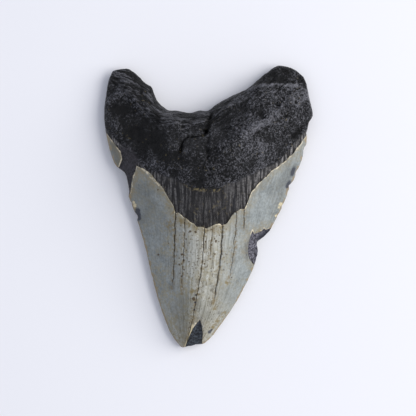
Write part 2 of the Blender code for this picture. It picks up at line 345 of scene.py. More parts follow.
@dataclass(frozen=True)
class Stretch:
    """A place or a line along which something changes, fading sideways as a bell curve.

    Attributes:
        path: places along its middle.
        width: how far to each side it reaches, in millimetres.
        amount: how much it adds in its middle.
    """

    path: Points
    width: float
    amount: float

    def at(self, x: Array, y: Array) -> Array:
        """Gives what it adds: the amount times exp(-(distance / width)^2)."""
        return self.amount * np.exp(-((path_distance(self.path, x, y) / self.width) ** 2))


def added(stretches: tuple[Stretch, ...], x: Array, y: Array) -> Array:
    """Adds up what several stretches add at each place."""
    return sum(stretch.at(x, y) for stretch in stretches)


@dataclass(frozen=True)
class Outline:
    """The tooth seen from above: its edges, its rim, and where the enamel ends on either face.

    Attributes:
        left_edge: the undamaged left edge, (along, sideways).
        right_edge: the undamaged right edge, (along, sideways).
        tip_edge: the broken tip, (sideways, along).
        root_rim: the far side of the root, (sideways, along).
        inner_enamel_line: where the enamel ends on the bulging face, (sideways, along).
        outer_enamel_line: where it ends on the flatter face.
        left_chips: how far the left edge is chipped, (along, inwards).
        right_chips: how far the right edge is chipped, (along, inwards).
        chip_fade: power with which the push of a chip dies out across the tooth.
        nicks: how far the edges' small nicks reach.
        nick_size: size of the nicks along the edge.
    """

    left_edge: Points = (
        (-57.5, -10.0), (-56.3, -10.9), (-54.2, -12.8), (-51.2, -14.8), (-47.5, -16.5), (-38.2, -19.8),
        (-28.3, -22.5), (-17.0, -25.1), (-8.8, -27.4), (1.5, -30.9), (12.2, -35.2), (18.8, -38.2),
        (26.6, -40.4), (37.8, -41.7), (44.2, -41.0), (52.8, -39.0), (54.3, -38.2), (57.0, -36.6),
    )
    right_edge: Points = (
        (-57.5, -4.4), (-54.7, -1.5), (-52.6, 0.8), (-48.2, 4.2), (-40.2, 9.8), (-30.0, 15.4), (-15.0, 22.0),
        (-8.8, 24.9), (-2.6, 28.2), (6.0, 32.0), (11.4, 34.3), (17.0, 36.6), (23.8, 38.8), (29.0, 39.8),
        (36.7, 41.7), (43.0, 40.4), (50.3, 38.7), (51.8, 38.1), (57.0, 35.2),
    )
    tip_edge: Points = (
        (-10.9, -56.3), (-10.2, -56.5), (-9.2, -56.2), (-8.1, -55.8), (-6.6, -55.7), (-5.2, -55.2),
        (-3.9, -55.2), (-2.4, -55.1), (-1.5, -54.7),
    )
    root_rim: Points = (
        (-38.2, 54.3), (-35.2, 55.0), (-32.2, 55.0), (-30.3, 54.0), (-27.8, 51.8), (-25.7, 49.6),
        (-22.9, 47.7), (-22.0, 45.4), (-20.5, 42.1), (-19.2, 40.7), (-16.5, 38.7), (-12.6, 38.3),
        (-6.7, 37.5), (-3.6, 38.4), (-0.5, 38.2), (2.9, 40.6), (8.9, 44.0), (16.2, 47.5), (19.8, 50.6),
        (23.8, 53.8), (28.4, 56.4), (30.2, 56.2), (34.1, 55.0), (38.1, 51.8),
    )
    inner_enamel_line: Points = (
        (-40.9, 29.4), (-38.2, 26.0), (-35.6, 22.6), (-32.2, 19.2), (-28.4, 16.1), (-26.0, 14.7),
        (-24.1, 13.3), (-22.0, 11.0), (-19.8, 8.9), (-18.0, 7.0), (-16.8, 5.2), (-15.6, 3.0), (-13.8, 0.3),
        (-13.3, -1.8),
        (-12.5, -2.7), (-11.8, -2.3), (-10.4, -3.7), (-8.8, -4.6), (-7.0, -6.1), (-5.5, -6.7), (-4.6, -8.0),
        (-2.4, -8.1), (-0.9, -8.6), (1.2, -7.7), (2.7, -7.0), (4.2, -6.6), (5.4, -7.4), (6.6, -6.9),
        (7.6, -5.6), (8.6, -3.9), (9.9, -2.6), (11.5, -1.7), (12.8, -0.9), (14.1, -1.2), (15.2, 1.1),
        (16.2, 3.4), (16.8, 5.7), (18.2, 7.0), (19.8, 9.0), (21.5, 10.7), (23.1, 12.0), (24.8, 14.0),
        (27.4, 15.7), (30.1, 17.7), (32.4, 20.0), (34.4, 21.6), (36.1, 24.0), (37.7, 26.6), (39.8, 29.0),
    )
    outer_enamel_line: Points = (
        (-40.9, 29.4), (-34.0, 23.5), (-28.0, 19.6), (-22.0, 17.0), (-15.0, 14.2), (-8.0, 13.2), (-2.0, 13.6),
        (4.0, 13.0), (11.0, 14.2), (18.0, 16.2), (25.0, 19.2), (32.0, 23.4), (39.8, 29.0),
    )
    left_chips: Points = (
        (-29.5, 0.0), (-28.6, 0.25), (-27.4, 0.0), (-5.5, 0.0), (-4.2, 0.7), (-3.0, 0.6), (-2.0, 0.0),
        (0.6, 0.0), (1.4, 0.25), (2.4, 0.0), (4.0, 0.0), (6.6, 1.2), (9.8, 1.9), (12.2, 2.5), (13.8, 2.3),
        (15.4, 1.0), (16.2, 0.3), (17.4, 0.0),
    )
    right_chips: Points = (
        (-24.6, 0.0), (-22.4, 0.2), (-21.0, 0.4), (-19.0, 0.7), (-17.6, 1.2), (-16.4, 1.8), (-15.0, 2.8),
        (-13.9, 3.0), (-13.0, 2.1), (-11.6, 0.9), (-9.6, 0.0), (-4.4, 0.0), (-3.6, 0.25), (-2.6, 0.0),
        (-0.6, 0.0), (0.2, 0.3), (1.4, 0.0), (4.6, 0.0), (5.6, 0.3), (6.8, 0.2), (8.4, 1.0), (9.2, 0.5),
        (10.4, 0.0), (12.4, 0.0), (13.6, 0.45), (14.6, 0.3), (15.8, 0.0), (20.6, 0.0), (22.4, 0.6),
        (23.8, 0.5), (24.8, 0.0), (27.8, 0.2), (29.4, 0.9), (31.0, 0.8), (33.6, 1.2), (35.2, 0.5),
        (36.4, 0.0),
    )
    chip_fade: float = 5.0
    nicks: float = 0.22
    nick_size: float = 2.4

    def nicked(self, at: Array, seed: int) -> Array:
        """Gives small unevenness along an edge, by the place along it."""
        return self.nicks * fractal(np.stack([at / self.nick_size, 0 * at, 0 * at], -1), seed, 3, 0.75)

    def left(self, y: Array) -> Array:
        """Gives the undamaged left edge's sideways place."""
        return through(self.left_edge, y)

    def right(self, y: Array) -> Array:
        """Gives the undamaged right edge's sideways place."""
        return through(self.right_edge, y)

    def share(self, x: Array, y: Array) -> Array:
        """Gives how far across the undamaged tooth a place is, from 0 at the left edge to 1 at the right."""
        return (x - self.left(y)) / (self.right(y) - self.left(y))

    def crossing(self, line: Points | Array, share: Array) -> Array:
        """Finds where a line crosses columns.

        Args:
            line: (sideways, along) places from the left edge to the right one.
            share: each column's share of the width.

        Returns:
            How far along the tooth each crossing is.
        """
        x, y = np.asarray(line, float).T
        return np.interp(share, self.share(x, y), y)

    def place(self, share: Array, y: Array) -> Array:
        """Turns shares of the width into sideways places, pushed inwards where an edge is chipped.

        Args:
            share: shares of the width.
            y: places along the tooth.

        Returns:
            The sideways places.
        """
        x = self.left(y) + (self.right(y) - self.left(y)) * share
        left_push = np.interp(y, *np.asarray(self.left_chips).T) + self.nicked(y, Seed.LEFT_NICKS)
        right_push = np.interp(y, *np.asarray(self.right_chips).T) + self.nicked(y, Seed.RIGHT_NICKS)
        return x + left_push * (1 - share) ** self.chip_fade - right_push * share**self.chip_fade


CRACKS = (
    Crack(((-13.1, -2.0), (-13.4, -14.0), (-14.0, -28.0), (-14.9, -36.0), (-10.4, -56.0)),
          0.26, 0.55, -34.0),
    Crack(((-9.3, -4.4), (-9.7, -16.2), (-10.1, -23.0), (-10.6, -30.0), (-9.9, -44.0), (-9.7, -56.0)),
          0.16, 0.3, -35.0),
    Crack(((-1.6, -8.4), (-2.2, -19.4), (-3.2, -27.6), (-5.0, -37.6), (-6.6, -45.8), (-9.1, -56.0)),
          0.22, 0.5, -66.0),
    Crack(((1.6, -7.6), (0.9, -16.0), (0.4, -21.0)), 0.1, 0.2, -21.0),
    Crack(((5.5, -7.4), (5.3, -16.2), (4.3, -24.2), (3.2, -31.0), (1.9, -39.0)), 0.26, 0.55, -39.0),
    Crack(((11.0, -1.9), (10.6, -16.2), (9.3, -22.6), (7.9, -30.4)), 0.15, 0.3, -30.4),
    Crack(((14.0, -1.2), (14.1, -5.0), (13.9, -9.6), (13.5, -20.0), (9.6, -33.0)), 0.22, 0.35, -9.6),
)

ENAMEL = 0.7  # how far the enamel stands above the root and above the dentine under it

FLAKES = {
    "shoulder": Flake(
        ((-31.4, 5.2), (-30.9, 7.8), (-30.6, 9.7), (-30.0, 12.2), (-29.0, 14.3), (-28.5, 16.0), (-28.2, 19.0),
         (-31.0, 22.0), (-35.4, 24.0), (-34.9, 21.4), (-34.4, 18.8), (-35.2, 16.9), (-35.8, 15.6),
         (-38.8, 14.0), (-34.0, 4.0)),
        0.62, 0.04, 0.8, roughness=0.05,
    ),
    "edge": Flake(
        ((17.4, -9.6), (18.0, -10.9), (19.8, -10.4), (21.1, -9.9), (22.1, -8.9), (22.9, -9.4), (24.9, -8.7),
         (30.0, -8.0), (28.0, -24.0), (18.4, -23.4), (17.7, -22.7), (16.4, -21.0), (15.7, -18.4),
         (15.8, -15.8), (16.5, -12.5), (17.2, -10.3)),
        0.75, 0.5, 2.4, roughness=0.32,
    ),
    "tip": Flake(
        ((-10.3, -60.0), (-9.3, -56.4), (-7.9, -52.4), (-6.3, -48.6), (-4.5, -46.2), (-3.4, -45.0),
         (-2.7, -47.4), (-2.3, -50.9), (-2.6, -54.0), (-2.6, -60.0)),
        0.35, 0.45, 1.7, roughness=0.2,
    ),
}

# Places where the root has broken to a flatter, smoother face
ROOT_BREAKS = (
    Flake(
        ((15.0, 46.4), (17.6, 47.9), (20.2, 48.6), (24.0, 48.9), (28.2, 49.5), (32.0, 49.4), (34.8, 48.9),
         (38.6, 47.0), (42.0, 56.0), (28.0, 61.0), (14.0, 52.0)),
        0.8, 0.3, 2.6, edge=0.7,
    ),
    Flake(
        ((-31.5, 57.0), (-30.0, 51.4), (-26.4, 47.2), (-22.6, 43.0), (-20.2, 39.6), (-17.0, 37.6),
         (-16.0, 44.0), (-22.0, 54.0)),
        0.25, 0.4, 1.8, edge=0.7,
    ),
)

# The side of the notch between the lobes, along which the root's fibres run
NOTCH_LINE: Points = (
    (-40.0, 60.0), (-32.0, 54.0), (-27.8, 50.6), (-22.8, 46.0), (-19.5, 41.4), (-16.0, 38.6), (-6.7, 37.5),
    (-0.5, 38.2), (2.9, 40.6), (16.2, 47.5), (23.8, 53.8), (32.0, 60.0),
)

# Ridges, furrows, lumps and hollows of the root: the amount is a height
ROOT_FORMS = (
    Stretch(((-33.6, 47.6), (-32.0, 45.8), (-27.5, 40.9), (-20.2, 36.1), (-13.0, 33.6)), 2.3, 1.9),
    Stretch(((-36.5, 52.0), (-38.0, 44.0)), 2.4, 0.9),
    Stretch(((-33.4, 38.0), (-29.0, 31.0), (-26.5, 23.0)), 5.2, -2.0),
    Stretch(((-36.8, 34.0), (-38.0, 29.0)), 1.8, 0.7),
    Stretch(((-22.0, 27.0), (-18.5, 20.0)), 3.0, -0.9),
    Stretch(((-15.4, 29.0), (-14.0, 22.0)), 2.6, 0.8),
    Stretch(((34.8, 44.6), (28.2, 37.2), (20.0, 31.8), (11.6, 26.8), (6.6, 20.6)), 2.9, 1.3),
    Stretch(((33.0, 42.4), (28.2, 37.8), (22.0, 33.2), (14.0, 28.6), (11.0, 26.6)), 1.1, 0.9),
    Stretch(((30.0, 36.0), (24.0, 31.6), (18.0, 28.2), (14.0, 25.2)), 1.0, -0.9),
    Stretch(((24.0, 45.4), (13.0, 38.6), (5.0, 33.0)), 3.0, -0.9),
    Stretch(((15.6, 46.6), (20.2, 47.9), (28.2, 48.6), (34.8, 48.0)), 0.7, 1.0),
    Stretch(((33.6, 28.2), (35.5, 29.6), (38.4, 32.6), (41.0, 35.0)), 0.8, -1.9),
    Stretch(((29.4, 29.4), (36.6, 36.6)), 1.0, -0.7),
    Stretch(((30.8, 40.1),), 0.9, -2.4),
    Stretch(((25.5, 35.6),), 0.9, -2.0),
    Stretch(((28.2, 47.0),), 0.7, -1.2),
    Stretch(((20.8, 36.6),), 0.6, -1.0),
    Stretch(((12.0, 33.6),), 0.6, -1.0),
    Stretch(((37.4, 36.4), (38.8, 38.6)), 0.6, -1.2),
    Stretch(((25.6, 27.6),), 1.4, -0.9),
    Stretch(((18.6, 29.0),), 0.9, -0.8),
    Stretch(((34.6, 38.6),), 1.0, -0.9),
    Stretch(((-0.9, 29.0),), 1.0, -4.2),
    Stretch(((-0.9, 29.6), (0.2, 33.0), (1.3, 36.8)), 0.75, -1.9),
    Stretch(((-11.0, 21.5), (-10.3, 25.2), (-8.6, 27.0), (-5.0, 27.2), (-1.7, 27.8)), 0.55, -1.8),
    Stretch(((0.3, 26.6), (-0.8, 23.0), (-0.2, 19.6)), 0.8, -0.9),
    Stretch(((-0.5, 19.0), (0.3, 14.6)), 0.9, -0.4),
    Stretch(((-5.4, 22.0),), 3.6, 1.3),
    Stretch(((5.0, 25.0), (9.0, 17.0)), 4.6, 1.1),
    Stretch(((4.4, 28.6), (8.6, 30.0)), 1.1, -0.7),
    Stretch(((-9.6, 15.6), (-12.6, 20.0)), 1.6, -0.7),
    Stretch(((21.0, 24.0),), 3.6, 0.7),
    Stretch(((-17.0, 12.6), (-8.0, 8.6), (0.0, 7.4), (8.0, 9.6), (17.0, 14.0)), 1.2, 0.5),
    Stretch(((-14.0, 35.8), (-6.0, 34.2), (0.0, 34.8)), 0.7, -0.7),
    Stretch(((-11.0, 33.4), (-3.0, 32.0)), 0.6, -0.6),
)

# How much of the root's grain is worn grey, beyond a share that all of it has
EVEN_WEAR = 0.19
ROOT_WEAR = (
    Stretch(((-37.0, 52.0), (-32.2, 46.0), (-27.5, 40.7), (-20.2, 36.1), (-12.0, 33.8), (0.0, 35.0)),
            3.4, 0.06),
    Stretch(((-37.0, 46.0), (-34.0, 34.0), (-26.0, 18.0)), 5.0, 0.05),
    Stretch(((-26.0, 18.0),), 5.0, 0.1),
    Stretch(((-26.0, 18.0), (-18.0, 10.0)), 5.0, 0.14),
    Stretch(((15.6, 46.6), (20.2, 47.9), (28.2, 48.6), (34.8, 48.0)), 0.6, 0.28),
    Stretch(((16.2, 48.0), (20.2, 49.2), (28.2, 50.0), (33.8, 49.6)), 0.7, -0.4),
    Stretch(((33.0, 42.4), (28.2, 37.8), (22.0, 33.2), (14.0, 28.6)), 1.5, 0.26),
    Stretch(((10.0, 40.0), (18.0, 44.0)), 4.0, 0.14),
    Stretch(((-16.0, 27.0), (-6.0, 22.0)), 6.0, -0.26),
    Stretch(((-2.0, 12.0), (3.0, 17.0)), 6.0, -0.16),
    Stretch(((-14.0, 20.0), (-8.0, 30.0)), 4.0, -0.06),
    Stretch(((28.2, 36.7), (35.0, 44.0)), 4.0, -0.06),
    Stretch(((12.0, 37.0), (22.0, 43.0), (32.0, 46.0)), 4.0, 0.12),
    Stretch(((37.0, 34.0), (40.0, 43.0)), 3.6, 0.4),
    Stretch(((19.0, 20.0), (24.0, 28.0)), 5.0, 0.2),
    Stretch(((22.0, 52.0), (34.0, 53.0)), 4.0, 0.16),
    Stretch(((35.0, 51.4), (37.4, 48.0)), 2.0, 0.3),
)
# Edges of the enamel that were broken long ago, so that no white shows on them
OLD_EDGES = (
    Stretch(((16.8, -12.6), (15.8, -15.8), (15.6, -18.4), (16.4, -21.0), (18.4, -23.2)), 1.6, 1.3),
    Stretch(((-3.4, -45.2), (-2.7, -49.0), (-2.2, -56.0)), 0.9, 1.0),
)
# Stretches of the enamel painted duller and browner: partly its own tone, partly painted shade where it
# slopes away from the light
DULL_AND_SHADED_STRETCHES = (
    Stretch(((-26.5, 6.0), (-22.0, -3.0)), 5.0, 0.3),
    Stretch(((-38.6, 24.0), (-36.0, 17.0)), 2.6, 0.6),
    Stretch(((28.0, 9.0), (33.0, 14.0)), 2.4, 0.3),
    Stretch(((-9.6, -37.0), (-9.0, -42.0), (-9.4, -51.0)), 4.0, 0.42),
    Stretch(((-12.6, -41.0), (-11.4, -45.0)), 3.0, 0.16),
    Stretch(((-3.6, -39.0), (-1.2, -43.4)), 3.0, 0.42),
    Stretch(((5.0, -36.0), (1.0, -50.0)), 5.0, 0.24),
)
# Bruises where the blue-black of the dentine shows through thin enamel
BRUISES = (
    Stretch(((16.6, -12.4), (15.2, -15.8), (15.0, -18.4), (15.7, -21.2)), 0.9, 0.5),
    Stretch(((-3.5, -44.2), (-2.7, -47.0), (-2.3, -51.0)), 1.1, 0.48),
    Stretch(((4.2, -42.6),), 0.8, 0.5),
    Stretch(((27.4, 4.0), (34.5, 17.0)), 3.0, 0.24),
    Stretch(((-26.0, -2.0), (-24.0, -10.0)), 3.0, 0.1),
    Stretch(((34.1, 15.0), (33.4, 12.8)), 0.7, 1.1),
    Stretch(((32.4, 9.8), (31.4, 8.0)), 0.7, 1.1),
    Stretch(((-28.4, -1.6), (-28.0, -4.6)), 0.9, 1.8),
    Stretch(((10.2, 4.6), (10.0, -2.6)), 0.5, 0.4),
    Stretch(((25.4, -9.6), (22.0, -11.6), (20.6, -12.6)), 1.5, 0.8),
)

# The upper border of the dark striated band between the root and the enamel, (sideways, along)
BAND_LINE: Points = (
    (-40.9, 31.0), (-30.0, 19.0), (-23.4, 13.8), (-14.2, 11.0), (-7.6, 7.4), (-1.6, 6.0), (3.4, 6.2),
    (7.6, 8.7), (11.7, 9.6), (15.6, 12.0), (20.6, 14.2), (27.4, 17.4), (39.8, 31.0),
)
OUTER_BAND = 3.0  # the band's width on the outer face
SLANT = 0.86  # turns a distance to a side edge, measured straight across, into the shortest one
# The rough, pale-grained stretch of the right lobe
GRAINY = Stretch(((36.0, 49.0), (31.0, 40.0), (22.0, 35.0), (13.0, 29.0), (8.0, 21.0), (3.0, 14.0)), 6.5, 1.0)


@dataclass(frozen=True)
class Heights:
    """Heights above the surface that the tooth lies on, each a curve of the place along the tooth.

    Attributes:
        crest: the inner face down the middle.
        side: the middle of the wall at the side edges.
        section_power: power of the cosine that the inner face's section follows.
        outer_power: power with which the outer face turns up towards its edges.
        outer_arch: how far the outer face is arched off the surface down the middle.
        edge: thickness of the wall at the cutting edges and at the rim of the root.
        valley: depth of the valley between the lobes on the outer face.
        valley_width: how far to each side the valley reaches.
        lobe_start: how far from the middle the lobes begin.
        lobe_drop: share of the height that the lobes lack.
        shoulder: radius of the root's round shoulder at its rim.
        slope: how far in from the rim the bulging face goes on rising.
        roundness: share of the height that the shoulder has in the middle.
        left_lobe: how much more it has at the left lobe.
        right_lobe: how much more it has at the right lobe.
    """

    crest: Points = (
        (-57.0, 6.0), (-50.0, 8.6), (-40.0, 11.4), (-25.0, 14.9), (-10.0, 17.7), (0.0, 19.6), (8.0, 22.0),
        (16.0, 24.8), (24.0, 26.4), (32.0, 26.0), (40.0, 23.6), (48.0, 20.8), (57.0, 18.6),
    )
    side: Points = (
        (-57.0, 2.6), (-40.0, 3.0), (-20.0, 3.6), (0.0, 4.0), (20.0, 3.9), (32.0, 3.6), (57.0, 3.8),
    )
    section_power: Points = ((-57.0, 1.0), (-10.0, 1.05), (12.0, 0.85), (26.0, 0.66), (57.0, 0.6))
    outer_power: Points = ((-57.0, 2.6), (0.0, 3.2), (30.0, 6.0), (57.0, 6.0))
    outer_arch: Points = (
        (-57.0, 0.5), (-49.0, -0.3), (-36.0, -0.9), (-22.0, -0.6), (-6.0, 0.5), (8.0, 1.3), (18.0, 0.8),
        (30.0, -1.2), (45.0, -1.8), (57.0, -0.6),
    )
    edge: float = 0.7
    valley: float = 1.2
    valley_width: float = 10.0
    lobe_start: float = 10.0
    lobe_drop: float = 0.32
    shoulder: float = 6.0
    slope: float = 21.0
    roundness: float = 0.42
    left_lobe: float = 0.14
    right_lobe: float = 0.4


@dataclass
class Skin:
    """One face of the tooth as a grid of rows by columns.

    Attributes:
        x: sideways places.
        y: places along the tooth.
        z: heights.
        enamel: how far inside the enamel each place lies, negative off it.
        flow: sideways place of each column at the enamel line, the same from there to the tip.
        crack: how much of a crack's depth each place has.
    """

    x: Array
    y: Array
    z: Array
    enamel: Array
    flow: Array
    crack: Array

    def places(self) -> Array:
        """Gives the places as one array, three numbers in its last axis."""
        return np.stack([self.x, self.y, self.z], -1)

    def normals(self) -> Array:
        """Gives the direction across the face at each place, upwards, from its neighbours in the grid."""
        places = self.places()
        across = np.cross(np.gradient(places, axis=1), np.gradient(places, axis=0))
        return across / np.linalg.norm(across, axis=-1, keepdims=True)


@dataclass
class ToothForm:
    """Works out the two faces of the tooth.

    Attributes:
        outline: the tooth seen from above.
        heights: its heights.
        crown_rows: rows of cells between the tip and the enamel line.
        root_rows: rows of cells between the enamel line and the rim of the root.
        plain_columns: cells across, before the cracks' own columns are added.
        crowding: how much closer together columns are at the edges, from 0 to 1.
        cliff: width of the step down from the enamel.
        calm_window: columns over which the rows away from the enamel line even out its teeth.
        crack_lips: for each of a crack's columns, its place in half widths and its part of the depth.
        crack_room: how far from a crack's middle other columns keep, in half widths.
        rim_crowding: power that crowds the root's rows towards its rim.
        rim_length: turns shares of the width into lengths along the rim, nearly.
        jag_size: size of the enamel line's small teeth along it.
        inner_jags: how far they reach on the inner face.
        outer_jags: how far they reach on the outer face.
        step_fade: how far the outer face's root takes to come level with its enamel.
        full_crack: half the width of a crack that is drawn at its full strength.
    """

    outline: Outline = field(default_factory=Outline)
    heights: Heights = field(default_factory=Heights)
    crown_rows: int = 156
    root_rows: int = 113
    plain_columns: int = 246
    crowding: float = 0.3
    cliff: float = 0.28
    calm_window: int = 31
    crack_lips: Points = ((-1.0, 0.0), (-0.35, 1.0), (0.35, 1.0), (1.0, 0.0))
    crack_room: float = 1.6
    rim_crowding: float = 1.25
    rim_length: float = 80.0
    jag_size: float = 1.5
    inner_jags: float = 0.45
    outer_jags: float = 0.7
    step_fade: float = 12.0
    full_crack: float = 0.2

    def spread(self, count: int) -> Array:
        """Gives shares from 0 to 1 that crowd towards both ends: t - k sin(2 pi t) / (2 pi)."""
        even = np.linspace(0, 1, count)
        return even - self.crowding * np.sin(2 * np.pi * even) / (2 * np.pi)

    def columns(self) -> tuple[Array, Array, Numbers]:
        """Lays out the columns at the enamel line; each crack has four of its own in place of plain ones.

        Returns:
            The share of the width, the part of a crack's depth, and the number of the crack of each column.
        """
        shares, depths, numbers = self.spread(self.plain_columns + 1), [], []
        own = []
        for number, crack in enumerate(CRACKS):
            start = np.array(crack.path[0][1])
            middle = float(crack.share(self.outline, start))
            half = crack.half_width / float(self.outline.right(start) - self.outline.left(start))
            shares = shares[np.abs(shares - middle) > self.crack_room * half]
            for place, depth in self.crack_lips:
                own.append(middle + place * half)
                depths.append(depth)
                numbers.append(number)
        if (len(shares) + len(own)) % 2 == 0:
            shares = np.delete(shares, 1)
        plain = len(shares)
        shares = np.concatenate([shares, own])
        order = np.argsort(shares)
        depth = np.concatenate([np.zeros(plain), depths])[order]
        number = np.concatenate([np.full(plain, -1), numbers]).astype(np.int64)[order]
        return shares[order], depth, number

    def bend(self, share: Array, y: Array) -> Array:
        """Bends columns so that those of a crack follow it towards the tip, and those between are shared out.

        Args:
            share: each column's share of the width at the enamel line.
            y: where along the tooth each vertex lies.

        Returns:
            Each vertex's share of the width.
        """
        first = [float(crack.share(self.outline, np.array(crack.path[0][1]))) for crack in CRACKS]
        starts = [0.0, *first, 1.0]
        paths = [np.zeros_like(y), *(crack.share(self.outline, y) for crack in CRACKS), np.ones_like(y)]
        bent = np.zeros_like(y)
        for low, high, low_path, high_path in zip(starts, starts[1:], paths, paths[1:]):
            part = (share - low) / (high - low)
            bent = np.where((part >= 0) & (part <= 1), low_path + (high_path - low_path) * part, bent)
        return bent

    def plan(self, enamel_line: Array) -> tuple[Array, Array, Array]:
        """Places the grid seen from above.

        A row of the crown lies at the same part of the way from the tip to the enamel line on every column.
        One narrow row makes the cliff. The root's rows go on to its rim, crowded towards it.

        Args:
            enamel_line: where the enamel ends on this face.

        Returns:
            Sideways places, places along the tooth, and shares of the width, all rows by columns.
        """
        columns = self.columns()[0]
        even = self.spread(len(columns))
        crown = np.linspace(0, 1, self.crown_rows + 1)[:, None]
        root = 1 - (1 - np.linspace(0, 1, self.root_rows + 1)[:, None]) ** self.rim_crowding
        tip = self.outline.crossing(self.outline.tip_edge, self.bend(columns, np.full_like(columns, TIP)))
        line = self.outline.crossing(enamel_line, columns)
        rim = self.outline.crossing(smooth_line(self.outline.root_rim), even)
        nicks = self.outline.nicked(self.rim_length * even, Seed.RIM_NICKS)
        rim = rim + nicks * ease(np.minimum(even, 1 - even) / 0.05)
        calm = self.calmed(line, columns)
        crown_y = tip + (calm - self.cliff - tip) * crown + (line - calm) * ease((crown - 0.8) / 0.2)
        y = np.concatenate([crown_y, line + (rim - line) * root])
        share = self.bend(np.broadcast_to(columns, y.shape), y)
        share[self.crown_rows + 1 :] += (even - share[self.crown_rows + 1 :]) * ease(3 * root)
        return self.outline.place(share, y), y, share

    def calmed(self, line: Array, columns: Array) -> Array:
        """Evens out where a line crosses the columns, with a sliding mean that leaves the edges alone.

        Args:
            line: how far along the tooth the line crosses each column.
            columns: each column's share of the width.

        Returns:
            The same crossings, evened out.
        """
        window = np.hanning(self.calm_window + 2)[1:-1]
        ends = [np.full(self.calm_window // 2, line[side]) for side in (0, -1)]
        mean = np.convolve(np.concatenate([ends[0], line, ends[1]]), window / window.sum(), "valid")
        return line + (mean - line) * ease(np.minimum(columns, 1 - columns) / 0.12)

    def rim_fullness(self, x: Array, y: Array, reach: float, roundness: Array | float) -> Array:
        """Gives how much of its full height the root has near its rim.

        A quarter circle of the distance from the rim makes the round shoulder, and a smooth step of the same
        distance makes the slope up to the crest.

        Args:
            x: sideways places.
            y: places along the tooth.
            reach: how far in the slope goes on.
            roundness: the shoulder's share of the height.

        Returns:
            A share of the full height from 0 to 1.
        """
        away = path_distance(smooth_line(self.outline.root_rim, 80), x, y)
        shoulder = np.sqrt(1 - (1 - np.clip(away / self.heights.shoulder, 0, 1)) ** 2)
        return roundness * shoulder + (1 - roundness) * ease(away / reach)

    def inner_height(self, x: Array, y: Array) -> Array:
        """Height of the bulging face: a power of a cosine across, times the rim's fullness.

        The root's forms are added; they come in over 5 mm from the enamel line and die out at the rim.

        Args:
            x: sideways places.
            y: places along the tooth.

        Returns:
            The heights, before the enamel's step and the cracks.
        """
        sizes = self.heights
        side, crest = through(sizes.side, y), through(sizes.crest, y)
        share = self.outline.share(x, y)
        across = np.clip(2 * share - 1, -1, 1)
        beyond = np.abs(x) - sizes.lobe_start
        lobe = ease(beyond / 16) * np.where(x < 0, sizes.left_lobe, sizes.right_lobe)
        fullness = np.cos(np.pi / 2 * across) ** through(sizes.section_power, y)
        fullness *= 1 - sizes.lobe_drop * ease(beyond / 22) * ease((y - 6) / 26)
        fullness = fullness * self.rim_fullness(x, y, sizes.slope, sizes.roundness + lobe)
        height = side + sizes.edge / 2 + (crest - side) * fullness
        line = self.outline.crossing(self.outline.inner_enamel_line, share)
        return height + self.root_forms(x, y) * ease((y - line) / 5) * ease(fullness * 2.5)

    def root_forms(self, x: Array, y: Array) -> Array:
        """Adds up the ridges, furrows, lumps, pits and breaks of the root."""
        rise = np.zeros_like(x)
        for form in ROOT_FORMS:
            rise += form.at(x, y)
        for flake in ROOT_BREAKS:
            rise -= flake.depth_at(inside_distance(flake.outline, x, y))
        return rise

    def outer_height(self, x: Array, y: Array) -> Array:
        """Height of the flatter face: a power of the distance from the middle, plus the arch, never below 0.

        Args:
            x: sideways places.
            y: places along the tooth.

        Returns:
            The heights, before the enamel's step.
        """
        side = through(self.heights.side, y) - self.heights.edge / 2
        across = np.clip(2 * self.outline.share(x, y) - 1, -1, 1)
        height = side * np.abs(across) ** through(self.heights.outer_power, y)
        height += through(self.heights.outer_arch, y) * (1 - across**2)
        height += self.heights.valley * np.exp(-((x / self.heights.valley_width) ** 2)) * ease((y - 12) / 20)
        return np.maximum(side + (height - side) * self.rim_fullness(x, y, self.heights.shoulder, 1.0), 0)

    def root_step(self, share: Array) -> Array:
        """Gives how far the root lies below the enamel; the step closes up at the cutting edges."""
        return ENAMEL * (1 - ease((np.abs(2 * share - 1) - 0.9) / 0.09))

    def jagged(self, line: Points, height: float, seed: int) -> Array:
        """Breaks up an enamel line with small teeth.

        Args:
            line: places along the line.
            height: how far the teeth reach along the tooth.
            seed: picks one pattern.

        Returns:
            A denser line.
        """
        dense = np.asarray(line, float)
        run = run_along(dense)
        at = np.linspace(0, run[-1], 420)
        dense = np.stack([np.interp(at, run, dense[:, axis]) for axis in (0, 1)], 1)
        places = np.stack([at / self.jag_size, np.zeros_like(at), np.zeros_like(at)], 1)
        ends = ease(np.minimum(at, run[-1] - at) / 3)
        dense[:, 1] += height * ends * fractal(places, seed, 3, 0.6)
        return dense

    def outer_skin(self) -> Skin:
        """Works out the flatter face."""
        line = self.jagged(self.outline.outer_enamel_line, self.outer_jags, Seed.OUTER_LINE)
        x, y, share = self.plan(line)
        z = self.outer_height(x, y)
        root = np.arange(len(y))[:, None] > self.crown_rows
        fade = 1 - ease((y - y[self.crown_rows + 1]) / self.step_fade)
        z = z + np.where(root, self.root_step(share) * fade, 0)
        away = path_distance(line[::3], x, y)
        return Skin(x, y, z, np.where(root, -away, away), self.flow(x), np.zeros_like(x))

    def inner_skin(self) -> Skin:
        """Works out the bulging face, with its cracks and the places where the enamel has flaked away."""
        line = self.jagged(self.outline.inner_enamel_line, self.inner_jags, Seed.INNER_LINE)
        x, y, share = self.plan(line)
        z = self.inner_height(x, y)
        root = np.arange(len(y))[:, None] > self.crown_rows
        z = z - np.where(root, self.root_step(share), 0)
        away = path_distance(line[::2], x, y)
        enamel = np.where(root, -away, away)
        for flake in FLAKES.values():
            inside = inside_distance(flake.outline, x, y)
            z = z - np.where(root, 0, flake.depth_at(inside))
            enamel = np.minimum(enamel, -inside)
        _, part, number = self.columns()
        cracked = np.zeros_like(x)
        for index, crack in enumerate(CRACKS):
            own = part * (number == index) * crack.strength(y) * ~root
            z = z - crack.depth * own
            cracked = cracked + own * min(1.0, crack.half_width / self.full_crack)
